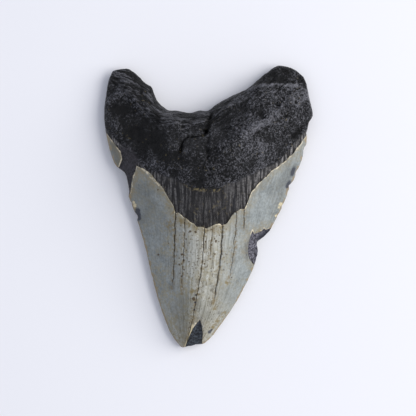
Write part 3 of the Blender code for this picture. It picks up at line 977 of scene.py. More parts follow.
        # The faces stay half a wall apart even where a flake is deep
        z = np.maximum(z, self.outer_height(x, y) + 0.5 * self.heights.edge)
        return Skin(x, y, z, enamel, self.flow(x), cracked)

    def flow(self, x: Array) -> Array:
        """Gives each place its column's sideways place at the enamel line, and the root its own."""
        root = np.arange(len(x))[:, None] > self.crown_rows
        return np.where(root, x, x[self.crown_rows])


# Fine relief and marks

# Stains and spots, (sideways, along, radius)
BROWN_SPOTS = (
    (-5.9, -36.6, 0.8), (-10.5, -19.0, 0.55), (-11.5, -23.0, 0.5), (-20.0, -19.2, 0.5), (2.9, -13.6, 0.6),
    (-20.0, 6.6, 0.4), (-9.8, -21.2, 0.45), (-10.6, -27.6, 0.45), (-5.2, -9.9, 0.5), (-7.2, -9.8, 0.5),
    (-15.9, -14.6, 0.3), (9.2, -28.2, 0.35), (-1.2, -13.8, 0.4), (-15.6, -0.6, 0.35), (-9.6, -25.0, 0.4),
)
TAN_SPOTS = (
    (-15.0, -8.2, 1.7), (4.2, -9.0, 1.5), (7.0, -30.6, 0.9), (9.0, -29.8, 0.8), (-22.2, -28.6, 1.0),
    (-5.4, -8.4, 1.2), (-6.4, -33.4, 1.0), (-11.2, -5.8, 1.1), (-1.6, -10.0, 0.9), (-8.0, -7.4, 0.9),
    (20.0, -10.2, 1.2), (-24.2, -23.0, 0.9), (-26.6, -15.6, 0.8), (3.4, 25.0, 0.6), (2.6, -40.6, 1.0),
    (-15.4, -6.2, 1.0),
)
CREAM_SPOTS = (
    (-29.9, 1.7, 0.6), (-29.4, 0.4, 0.8), (28.9, 0.9, 0.9), (28.2, -0.4, 0.5), (26.9, -3.7, 0.6),
    (21.2, -10.1, 0.8), (-24.6, -23.2, 0.5), (-25.4, -18.6, 0.4),
)
DARK_SPOTS = (
    (0.4, -50.2, 0.7), (1.2, -49.4, 0.5), (-5.0, -35.0, 0.4), (-5.3, -38.0, 0.4), (-5.7, -41.0, 0.4),
)
TAN_STREAK: Points = ((6.4, -42.6), (3.6, -46.0), (0.8, -49.4))
# The tan lip of the broken tip, which goes on up along the main crack
PALE_LIP: Points = ((-9.3, -56.0), (-7.9, -52.2), (-6.9, -49.6), (-6.3, -47.2))
HALO_WIDTH = 0.8  # how far from a crack its halo falls to 1 / e


def spotted(spots: tuple[tuple[float, float, float], ...], x: Array, y: Array) -> Array:
    """Gives how strongly each place is stained: 1 inside a spot, falling to 0 at one and a half radii.

    Args:
        spots: places and radii.
        x: sideways places.
        y: places along the tooth.

    Returns:
        A share from 0 to 1.
    """
    stain = np.zeros_like(x)
    for middle_x, middle_y, radius in spots:
        stain = np.maximum(stain, 1 - ease(np.hypot(x - middle_x, y - middle_y) / radius - 0.5))
    return stain


@dataclass(frozen=True)
class Roughness:
    """One kind of roughness.

    Attributes:
        height: how far it stands out, or how deep it goes.
        size: size of its largest features across.
        length: their length, where they are drawn out.
    """

    height: float
    size: float
    length: float = 0.0


@dataclass(frozen=True)
class Relief:
    """The kinds of fine relief.

    Attributes:
        lumps: rounded lumps all over the root.
        grain: the root's coarse grain.
        crust: crests of the granular stretch of the right lobe.
        pores: the root's pores.
        wrinkles: ripples that follow the notch between the lobes.
        creases: narrow creases that wander over the root.
        striations: bars of the dark band under the root.
        band_waves: slow unevenness of the band.
        waves: slow unevenness of the enamel.
        growth: ripples along the enamel's grain.
        pocks: small pits in the enamel.
        flaked: grain of the places where enamel has broken away; each has its own height.
        rim_fade: how far in from the rim the relief takes to come in.
    """

    lumps: Roughness = Roughness(0.65, 6.0)
    grain: Roughness = Roughness(0.55, 2.0)
    crust: Roughness = Roughness(0.6, 1.4)
    pores: Roughness = Roughness(0.8, 2.3)
    wrinkles: Roughness = Roughness(0.5, 1.1, 8.0)
    creases: Roughness = Roughness(0.15, 6.5)
    striations: Roughness = Roughness(0.2, 0.9, 10.0)
    band_waves: Roughness = Roughness(0.1, 5.0)
    waves: Roughness = Roughness(0.1, 9.0)
    growth: Roughness = Roughness(0.045, 1.3, 22.0)
    pocks: Roughness = Roughness(0.14, 1.3)
    flaked: Roughness = Roughness(1.0, 1.5)
    rim_fade: float = 1.6

    def root(self, skin: Skin, notch: Array, band: Array, grainy: Array) -> Array:
        """Adds up the root's relief, with the bars of the band in its place where the band is.

        Args:
            skin: the face.
            notch: distance of each place from the side of the notch between the lobes.
            band: how much each place belongs to the band.
            grainy: how much each place belongs to the granular stretch.

        Returns:
            Heights across the face.
        """
        places = skin.places()
        lumps, grain, crust, pores = self.lumps, self.grain, self.crust, self.pores
        height = lumps.height * fractal(places / lumps.size, Seed.LUMPS, 3)
        height += grain.height * (0.6 + 0.6 * grainy) * (ridged(places / grain.size, Seed.GRAIN, 3) - 0.45)
        height += crust.height * grainy * (ridged(places / crust.size, Seed.CRUST) - 0.4)
        height -= pores.height * (0.5 + 0.5 * grainy) * pits(places / pores.size, Seed.PORES, 0.42)

        # The wrinkles fade 5 to 14 mm from the notch's side
        bent = fractal(places / lumps.size, Seed.BENDS, 2)
        kind = self.wrinkles
        along = [skin.x / kind.length, skin.y / kind.length + skin.z / kind.length]
        fibres = np.stack([notch / kind.size + 0.8 * bent, *along], -1)
        height += kind.height * (1 - ease((notch - 5) / 9)) * (ridged(fibres, Seed.WRINKLES) - 0.4)
        creased = ease((ridged(places / self.creases.size, Seed.CREASES, 2) - 0.8) / 0.2)
        height -= self.creases.height * creased

        # The bars are stronger right of the middle
        kind = self.striations
        bars = np.stack([skin.flow / kind.size + 0.5 * bent, skin.y / kind.length, skin.z / kind.length], -1)
        strength = 0.45 + 0.55 * ease((skin.x - 1) / 10)
        waves = self.band_waves.height * fractal(places / self.band_waves.size, Seed.BAND_WAVES, 2)
        striated = kind.height * strength * (ridged(bars, Seed.STRIATIONS) - 0.5) + waves
        return height + (striated - height) * band

    def enamel(self, skin: Skin) -> Array:
        """Adds up the enamel's relief.

        Args:
            skin: the face.

        Returns:
            Heights across the face.
        """
        places = skin.places()
        kind = self.growth
        grown = np.stack([skin.flow / kind.size, skin.y / kind.length, skin.z / 60], -1)
        height = self.waves.height * fractal(places / self.waves.size, Seed.WAVES, 2)
        height += kind.height * fractal(grown, Seed.GROWTH, 2)
        return height - self.pocks.height * self.pocked(skin.x, skin.y) * self.pock_pits(places)

    def pocked(self, x: Array, y: Array) -> Array:
        """Gives how much of the enamel is pocked: all under the middle of the band, none far from there."""
        return np.exp(-(((x + 3) / 12) ** 4) - (((y + 17) / 12) ** 4))

    def pock_pits(self, places: Array) -> Array:
        """Gives the pits that the pocks are, as they would be if all the enamel had them."""
        return pits(places / self.pocks.size, Seed.POCKS, 0.5)


@dataclass
class ToothFace:
    """One face of the tooth with its fine relief and what the material needs to know of each place.

    Attributes:
        form: the tooth's form.
        skin: the face without its fine relief.
        relief: heights of the fine relief.
        inner: whether this is the bulging face.
    """

    form: ToothForm
    skin: Skin
    relief: Relief
    inner: bool

    def __post_init__(self) -> None:
        """Works out the distances and shares that the relief and the marks both need."""
        x, y = self.skin.x, self.skin.y
        outline = self.form.outline
        share = outline.share(x, y)
        rim = path_distance(smooth_line(outline.root_rim, 160), x, y)
        self.notch = path_distance(smooth_line(NOTCH_LINE, 160), x, y)
        sides = np.minimum(x - x[:, :1], x[:, -1:] - x)
        self.edge = np.minimum(sides * SLANT, np.minimum(rim, y - y[0]))
        uneven = 0.8 * fractal(np.stack([x / 4, y / 4, np.zeros_like(x)], -1), Seed.BAND_BORDER, 3, 0.7)
        if self.inner:
            line = outline.crossing(BAND_LINE, share)
        else:
            line = outline.crossing(outline.outer_enamel_line, share) + OUTER_BAND
        self.band = ease((line + uneven - y) / 1.4 + 0.5) * (self.skin.enamel < 0)
        self.grainy = GRAINY.at(x, y) * self.inner
        self.broken = {}
        for name, flake in FLAKES.items():
            self.broken[name] = inside_distance(flake.outline, x, y) if self.inner else np.full_like(x, -9.0)

    def rise(self) -> Array:
        """Gives how far each place stands out: the root's relief off the enamel, the enamel's on it.

        Returns:
            Heights across the face, 0 at the rim, where the wall joins on.
        """
        root = self.relief.root(self.skin, self.notch, self.band, self.grainy)
        enamel = self.relief.enamel(self.skin)
        on_enamel = ease(self.skin.enamel / 0.5 + 0.5)
        height = root + (enamel - root) * on_enamel
        flaked = self.relief.flaked
        grain = flaked.height * fractal(self.skin.places() / flaked.size, Seed.BROKEN, 3, 0.7)
        for name, flake in FLAKES.items():
            broken = ease(self.broken[name] / 0.4)
            height = height + (flake.roughness * grain - height) * broken
        return height * ease(self.edge / self.relief.rim_fade + 0.02)

    def places(self) -> Array:
        """Moves each place along its normal by its rise, and keeps the outer face off what it rests on."""
        rise = self.rise() * (1 if self.inner else -1)
        places = self.skin.places() + self.skin.normals() * rise[..., None]
        if not self.inner:
            places[..., 2] = np.maximum(places[..., 2], 0)
        return places

    def marks(self) -> dict[str, Array]:
        """Gives the values that the material reads, by name: one number or three for each place."""
        x, y = self.skin.x, self.skin.y
        inner, nothing = self.inner, np.zeros_like(x)
        # Painted shade: low places of the relief darken the root's colour, while high, worn ones lighten it
        crest_wear_and_hollow_shade = self.relief.root(self.skin, self.notch, self.band, self.grainy)
        if inner:
            # The root's larger forms are added, so that deep hollows such as the foramen get painted shade
            crest_wear_and_hollow_shade = crest_wear_and_hollow_shade + 0.2 * np.clip(self.form.root_forms(x, y), -2.5, 0.6) * (1 - self.band)
        worn = EVEN_WEAR + added(ROOT_WEAR, x, y) * inner
        near = np.full_like(x, 9.0)
        for crack in CRACKS:
            near = np.where(y > crack.end, np.minimum(near, path_distance(crack.path, x, y)), near)
        halo = np.exp(-((near / HALO_WIDTH) ** 2))
        streak = 1 - ease(path_distance(TAN_STREAK, x, y) / 0.9 - 0.3)
        lip = 1 - ease(path_distance(PALE_LIP, x, y) / 0.45 - 0.3)

        # Warm down the middle, more widely so towards the root, and warm again near the tip
        warmth = 0.85 * np.exp(-(((x + 1.5) / (10 + 0.05 * y)) ** 2)) + 0.6 * ease((-32 - y) / 22)
        warmth = np.clip(warmth, 0, 1) if inner else nothing + 0.4
        # Painted shade and a dull brown tone over some stretches of the enamel
        dull_and_shade = np.minimum(added(DULL_AND_SHADED_STRETCHES, x, y), 0.8)
        cream = spotted(CREAM_SPOTS, x, y)
        pocked = self.relief.pocked(x, y)
        brown = np.maximum(spotted(BROWN_SPOTS, x, y), pocked * self.relief.pock_pits(self.skin.places()))
        tan = np.maximum(spotted(TAN_SPOTS, x, y), streak)
        dark = np.minimum(spotted(DARK_SPOTS, x, y) + added(BRUISES, x, y), 1)
        fresh = 1 - np.minimum(added(OLD_EDGES, x, y), 1) * inner

        # Fibres run beside the notch, further in at the left lobe, and are weaker on the right
        fibrous = 0.9 - 0.9 * ease((self.notch - 2 - 2 * ease((-12 - x) / 8)) / 6)
        fibrous = fibrous * (1 - 0.7 * ease((x - 2) / 10))
        return {
            "margin": np.stack([self.skin.enamel, fresh, self.edge], -1),
            "flow": self.skin.flow,
            "notch": self.notch,
            "bone": np.stack([crest_wear_and_hollow_shade, np.clip(worn, 0.05, 1), fibrous], -1),
            "band": self.band,
            "pocked": pocked * inner,
            "tint": np.stack([warmth, dull_and_shade * inner, cream * inner], -1),
            "cracks": np.stack([self.skin.crack, halo * inner, lip * inner], -1),
            "broken": np.stack([np.clip(part, -2, 2) for part in self.broken.values()], -1),
            "spots": np.stack([part if inner else nothing for part in (brown, tan, dark)], -1),
        }


# The mesh

# The colour map: two halves for the faces, and under them a strip for the wall
INNER_LEFT, OUTER_LEFT, HALF_WIDTH = 0.004, 0.506, 0.488
HALF_BOTTOM, HALF_HEIGHT = 0.065, 0.93
STRIP_LEFT, STRIP_WIDTH = 0.003, 0.994
STRIP_TOP, STRIP_HEIGHT = 0.05, 0.044


def rim_order(rows: int, columns: int) -> Numbers:
    """Lists a grid's rim vertices counter-clockwise from above, starting at its lower left corner.

    Args:
        rows: rows of vertices.
        columns: vertices in a row.

    Returns:
        Their numbers in the grid.
    """
    number = np.arange(rows * columns).reshape(rows, columns)
    return np.concatenate([number[0, :-1], number[:-1, -1], number[-1, :0:-1], number[:0:-1, 0]])


def grid_quads(rows: int, columns: int, upwards: bool) -> Numbers:
    """Lists the corners of a grid's cells, turned so that they face upwards or downwards.

    Args:
        rows: rows of vertices.
        columns: vertices in a row.
        upwards: whether the cells face up.

    Returns:
        Four vertex numbers a cell.
    """
    number = np.arange(rows * columns).reshape(rows, columns)
    corners = [number[:-1, :-1], number[:-1, 1:], number[1:, 1:], number[1:, :-1]]
    return np.stack(corners if upwards else corners[::-1], -1).reshape(-1, 4)


@dataclass
class Shell:
    """Collects the tooth's surface.

    Attributes:
        places: places of the vertices, in parts.
        marks: the values that go with them, in the same parts.
        faces: the vertex numbers of the faces, in parts.
        maps: where the corners of the faces lie on the colour map, in the same parts.
        count: number of vertices so far.
    """

    places: list[Array] = field(default_factory=list)
    marks: list[dict[str, Array]] = field(default_factory=list)
    faces: list[Numbers] = field(default_factory=list)
    maps: list[Array] = field(default_factory=list)
    count: int = 0

    def add_vertices(self, places: Array, marks: dict[str, Array]) -> Numbers:
        """Adds vertices.

        Args:
            places: places in millimetres, three numbers in the last axis.
            marks: the values that go with them.

        Returns:
            Their numbers in the mesh, in the same shape as the places.
        """
        shape = places.shape[:-1]
        numbers = self.count + np.arange(math.prod(shape)).reshape(shape)
        self.count += numbers.size
        self.places.append(places.reshape(-1, 3))
        self.marks.append({name: value.reshape(numbers.size, -1) for name, value in marks.items()})
        return numbers

    def add_faces(self, faces: Numbers, map_places: Array) -> None:
        """Adds faces and the places of their corners on the colour map."""
        self.faces.append(faces)
        self.maps.append(map_places)

    def mesh(self, name: str) -> bpy.types.Mesh:
        """Makes the mesh, with its marks as attributes and its colour map.

        Args:
            name: the mesh's name.

        Returns:
            The mesh, in metres.
        """
        mesh = bpy.data.meshes.new(name)
        sizes = np.concatenate([np.full(len(faces), faces.shape[1]) for faces in self.faces])
        corners = np.concatenate([faces.reshape(-1) for faces in self.faces])
        mesh.vertices.add(self.count)
        places = np.concatenate(self.places) * MM
        mesh.vertices.foreach_set("co", places.astype(np.float32).reshape(-1))
        mesh.loops.add(len(corners))
        mesh.loops.foreach_set("vertex_index", corners.astype(np.int32))
        mesh.polygons.add(len(sizes))
        starts = np.concatenate([[0], np.cumsum(sizes)[:-1]])
        mesh.polygons.foreach_set("loop_start", starts.astype(np.int32))
        mesh.polygons.foreach_set("use_smooth", np.ones(len(sizes), bool))
        mesh.update(calc_edges=True)
        for mark in self.marks[0]:
            values = np.concatenate([marks[mark] for marks in self.marks])
            kind, slot = ("FLOAT", "value") if values.shape[1] == 1 else ("FLOAT_VECTOR", "vector")
            attribute = mesh.attributes.new(mark, kind, "POINT")
            attribute.data.foreach_set(slot, values.astype(np.float32).reshape(-1))
        bake = mesh.uv_layers.new(name="OFBake")
        flat = np.concatenate([part.reshape(-1) for part in self.maps])
        bake.data.foreach_set("uv", flat.astype(np.float32))
        return mesh


@dataclass
class Tooth:
    """The whole tooth: two faces and the wall between them.

    Attributes:
        form: the tooth's form.
        relief: heights of the fine relief.
        wall_rings: rings of vertices between the two rims.
        bulge: how far the wall bulges outwards.
    """

    form: ToothForm = field(default_factory=ToothForm)
    relief: Relief = field(default_factory=Relief)
    wall_rings: int = 2
    bulge: float = 0.14

    def face_map(self, skin: Skin, left: float) -> Array:
        """Lays a face out flat on its half of the colour map, seen from above.

        Args:
            skin: the face.
            left: where its half of the map starts.

        Returns:
            Two numbers for each place.
        """
        across = (skin.x - skin.x.min()) / (skin.x.max() - skin.x.min())
        along = (skin.y - skin.y.min()) / (skin.y.max() - skin.y.min())
        return np.stack([left + HALF_WIDTH * across, HALF_BOTTOM + HALF_HEIGHT * along], -1)

    def build(self) -> Shell:
        """Builds the tooth's surface.

        The outer face has half as many cells each way as the inner one. The wall goes down from the inner
        face's rim in rings of the same number of vertices, and its last strip has three triangles to each
        cell of the outer face's rim.

        Returns:
            The closed surface.
        """
        inner = ToothFace(self.form, self.form.inner_skin(), self.relief, True)
        outer = ToothFace(self.form, self.form.outer_skin(), self.relief, False)
        shell = Shell()
        rows, columns = inner.skin.x.shape
        places, marks = inner.places(), inner.marks()
        top = shell.add_vertices(places, marks)
        quads = grid_quads(rows, columns, True)
        shell.add_faces(quads, self.face_map(inner.skin, INNER_LEFT).reshape(-1, 2)[quads])

        low_places, low_marks = outer.places(), outer.marks()
        half = np.s_[::2, ::2]
        half_marks = {name: value[half] for name, value in low_marks.items()}
        bottom = shell.add_vertices(low_places[half], half_marks)
        quads = grid_quads(*bottom.shape, False)
        flat = self.face_map(outer.skin, OUTER_LEFT)[half].reshape(-1, 2)
        shell.add_faces(bottom.reshape(-1)[quads], flat[quads])

        order = rim_order(rows, columns)
        upper, lower = places.reshape(-1, 3)[order], low_places.reshape(-1, 3)[order]
        rings = [top.reshape(-1)[order]]
        for ring in range(1, self.wall_rings + 1):
            part = ring / (self.wall_rings + 1)
            middle = upper + (lower - upper) * part
            middle[:, :2] += self.outward(upper) * self.bulge * math.sin(math.pi * part)
            ring_marks = {}
            for name in marks:
                above = marks[name].reshape(rows * columns, -1)[order]
                below = low_marks[name].reshape(rows * columns, -1)[order]
                ring_marks[name] = above + (below - above) * part
            rings.append(shell.add_vertices(middle, ring_marks))
        for number, (above, below) in enumerate(zip(rings, rings[1:])):
            self.add_strip(shell, above, below, number)
        self.add_last_strip(shell, rings[-1], bottom.reshape(-1)[rim_order(*bottom.shape)])
        return shell

    def outward(self, rim: Array) -> Array:
        """Gives the level direction away from the tooth at each place of its rim."""
        along = np.roll(rim, -1, 0)[:, :2] - np.roll(rim, 1, 0)[:, :2]
        away = np.stack([along[:, 1], -along[:, 0]], -1)
        return away / np.linalg.norm(away, axis=1, keepdims=True)

    def wall_map(self, at: Array, ring: Array | int) -> Array:
        """Gives places on the strip of the colour map that holds the wall.

        Args:
            at: how far round the rim, from 0 to 1.
            ring: which ring, counted down from the inner face.

        Returns:
            Two numbers for each place.
        """
        down = STRIP_TOP - STRIP_HEIGHT * ring / (self.wall_rings + 1)
        return np.stack(np.broadcast_arrays(STRIP_LEFT + STRIP_WIDTH * at, down), -1)

    def add_strip(self, shell: Shell, above: Numbers, below: Numbers, number: int) -> None:
        """Joins two rings of the same number of vertices with cells.

        Args:
            shell: the surface to add them to.
            above: numbers of the upper ring's vertices.
            below: numbers of the lower ring's.
            number: which ring the upper one is, counted down from the inner face.
        """
        faces = np.stack([above, below, np.roll(below, -1), np.roll(above, -1)], -1)
        start = np.arange(len(above)) / len(above)
        at = start[:, None] + np.array([0, 0, 1, 1]) / len(above)
        shell.add_faces(faces, self.wall_map(at, np.array([0, 1, 1, 0]) + number))

    def add_last_strip(self, shell: Shell, above: Numbers, below: Numbers) -> None:
        """Joins a ring to one of half as many vertices, with three triangles to each of its stretches.

        Args:
            shell: the surface to add them to.
            above: numbers of the upper ring's vertices.
            below: numbers of the lower ring's.
        """
        a, b, c = above[::2], above[1::2], np.roll(above, -2)[::2]
        d, e = below, np.roll(below, -1)
        step, last = 1 / len(below), self.wall_rings
        start = np.arange(len(below))[:, None] * step
        for corners, at, ring in (
            ((a, d, b), (0, 0, 0.5), (0, 1, 0)),
            ((b, d, e), (0.5, 0, 1), (0, 1, 1)),
            ((b, e, c), (0.5, 1, 1), (0, 1, 0)),
        ):
            flat = self.wall_map(start + np.array(at) * step, np.array(ring) + last)
            shell.add_faces(np.stack(corners, -1), flat)


# Finishes


def linear(code: str) -> tuple[float, float, float, float]:
    """Turns a colour as shown on a screen into the linear colour that materials and lights use.

    Args:
        code: six hexadecimal digits of sRGB.

    Returns:
        Red, green, blue and 1.
    """
    shown = [int(code[start : start + 2], 16) / 255 for start in (0, 2, 4)]
    curve = [part / 12.92 if part <= 0.04045 else ((part + 0.055) / 1.055) ** 2.4 for part in shown]
    return *curve, 1.0


@dataclass
class Graph:
    """A material's nodes."""

    tree: bpy.types.NodeTree

    def add(
        self,
        kind: str,
        *inputs: object,
        named: dict[int | str, object] | None = None,
        output: int = 0,
        **settings: object,
    ) -> bpy.types.NodeSocket | None:
        """Adds a node with its settings and links.

        Args:
            kind: the node's type, without the word that all shader nodes start with.
            inputs: what goes into its first inputs, in their order: sockets or constants.
            named: what goes into other inputs, by number or name.
            output: which of its outputs is wanted.
            settings: its properties.

        Returns:
            That output, or nothing for a node that has none.
        """
        node = self.tree.nodes.new("ShaderNode" + kind)
        for name, value in settings.items():
            setattr(node, name, value)
        for key, value in [*enumerate(inputs), *(named or {}).items()]:
            if isinstance(value, bpy.types.NodeSocket):
                self.tree.links.new(value, node.inputs[key])
            else:
                node.inputs[key].default_value = value
        return node.outputs[output] if node.outputs else None


# Settings that many nodes share
PRODUCT = {"operation": "MULTIPLY"}
SUM = {"operation": "ADD"}
LARGER = {"operation": "MAXIMUM"}
SIZE = {"operation": "ABSOLUTE"}
SMOOTH = {"interpolation_type": "SMOOTHSTEP"}
COLOURS = {"data_type": "RGBA", "output": 2}
NUMBERS = {"data_type": "FLOAT"}


@dataclass(frozen=True)
class Tones:
    """Colours of one substance, as seen on a screen in even light.

    Attributes:
        dark: its darkest colour.
        light: its lightest colour.
    """

    dark: str
    light: str


# Phosphate turned black by iron and manganese in the sea bed, grey where its crests are worn
ROOT_BONE = Tones("0a0b0d", "8f9098")
# The thin dark layer between root and enamel, denser than the bone and ribbed; some ribs are worn brown-grey
BAND_LAYER = Tones("1a191b", "a3a1a0")
# Tooth enamel stays glossy for millions of years: blue-grey here, and warmer where it is crazed and stained
COOL_ENAMEL = Tones("626767", "979e9e")
WARM_ENAMEL = Tones("838175", "cccdc4")
# Fresh edges of the enamel, where its white inside shows under a tan film
CUT_EDGE = Tones("8d7d5f", "d5cbb2")
# Dentine laid bare where enamel has flaked: worn at the shoulder, rough at the edge, blue-black at the tip
SHOULDER_DENTINE = Tones("252427", "454248")
EDGE_DENTINE = Tones("25232a", "8f8e99")
TIP_DENTINE = Tones("0f1116", "4a525a")

# Spread of the shine: broad and weak on open-grained bone and bare dentine, narrower on enamel
BONE_ROUGHNESS, BAND_ROUGHNESS, EDGE_ROUGHNESS, TIP_ROUGHNESS = 0.55, 0.5, 0.6, 0.45
ENAMEL_ROUGHNESS, SMOOTHER, ROUGHER = 0.36, 0.06, 0.08
REFRACTION = 1.55  # a little below apatite's 1.63
SHINE_LEVEL = 0.2  # weathered surfaces send back less than fresh ones

CRACK_COLOUR = "2b2622"  # what has filled the cracks
HALO_COLOUR = "6e5d3c"  # rusty stain that has crept out of them
CRAZE_COLOUR = "4a4333"  # the fine crazing of the warm enamel
MARGIN_STAIN = "8a8169"  # brown patches along the enamel's margin
TAN_FILM = "918a70"  # a thin film on the crown, thickest on the left and towards the tip
# Painted shade and a dull brown tone laid over some stretches of the enamel
DULL_AND_SHADED_ENAMEL = "53544c"
BROWN_STAIN = "4b3c27"
TAN_STAIN = "7b6f50"
CREAM_STAIN = "c9bd9b"
DARK_STAIN = "2f323c"
EARTH_SPECK = "7a6f50"  # earth left in the pits of the root and the band

# Sizes in millimetres: from pore to pore of the root, from dot to dot of the enamel, and of the finest bumps
PORE_SPACING, DOT_SPACING, BUMP_HEIGHT = 1.4, 1.25, 0.8
ENAMEL_BUMP = 0.06  # how high the bumps are on the enamel, against those elsewhere


class Grain(Enum):
    """Noises of the material: size in millimetres, octaves added, and each one's height against the last."""

    GRIT = (0.7, 4.0, 0.85)  # the root's finest grain
    WOBBLE = (0.8, 3.0, 0.7)  # unevenness of the cracks' width
    SPECK = (0.8, 1.0, 0.55)  # brown specks on the enamel
    BUMP = (0.8, 4.0, 0.8)  # the finest relief, all over
    BORDER = (0.9, 2.0, 0.55)  # specks along the band's upper border
    FLECK = (0.9, 3.0, 0.7)  # what frays stains and breaks up ribs
    DENTINE = (0.9, 4.0, 0.7)  # shades of bare dentine
    PATCH = (1.0, 3.0, 0.7)  # patches of the margin's stain
    CRUMB = (1.3, 2.0, 0.55)  # specks of earth on the root
    HALO = (1.4, 3.0, 0.7)  # breaks in the cracks' halos
    FILM = (1.4, 4.0, 0.75)  # breaks in the tan film
    DUST = (1.5, 3.0, 0.55)  # specks of earth on the band
    WAVY = (2.2, 3.0, 0.55)  # waves of the margin's border
    CRAZING = (2.4, 3.0, 0.55)  # gaps in the crazing
    LIP = (2.6, 3.0, 0.7)  # gaps in the enamel's pale lip
    GAP = (3.0, 3.0, 0.7)  # where the cracks are fainter
    MOTTLE = (5.0, 4.0, 0.6)  # slow change of the enamel's shade
    SHINE = (6.0, 3.0, 0.55)  # slow change of its roughness
    BAND_CLOUD = (8.0, 1.0, 0.55)  # where earth lies on the band
    FILM_CLOUD = (8.0, 2.0, 0.55)  # where the film is thicker
    ROOT_CLOUD = (9.0, 1.0, 0.55)  # where earth lies on the root


class Streak(Enum):
    """Drawn-out noises of the material: width and length in millimetres, and octaves added."""

    RIB = (0.75, 9.0, 4.0)  # the band's pale ribs
    FIBRE = (0.8, 5.0, 4.0)  # the root's fibres beside the notch
    FAINT = (0.9, 12.0, 3.0)  # faint streaks all over the enamel
    WARM = (1.2, 30.0, 4.0)  # streaks of the warm enamel
    CRAZE = (1.7, 45.0, 1.0)  # its long fine crazing
    BLACK_LINE = (2.2, 22.0, 1.0)  # the band's thin black lines


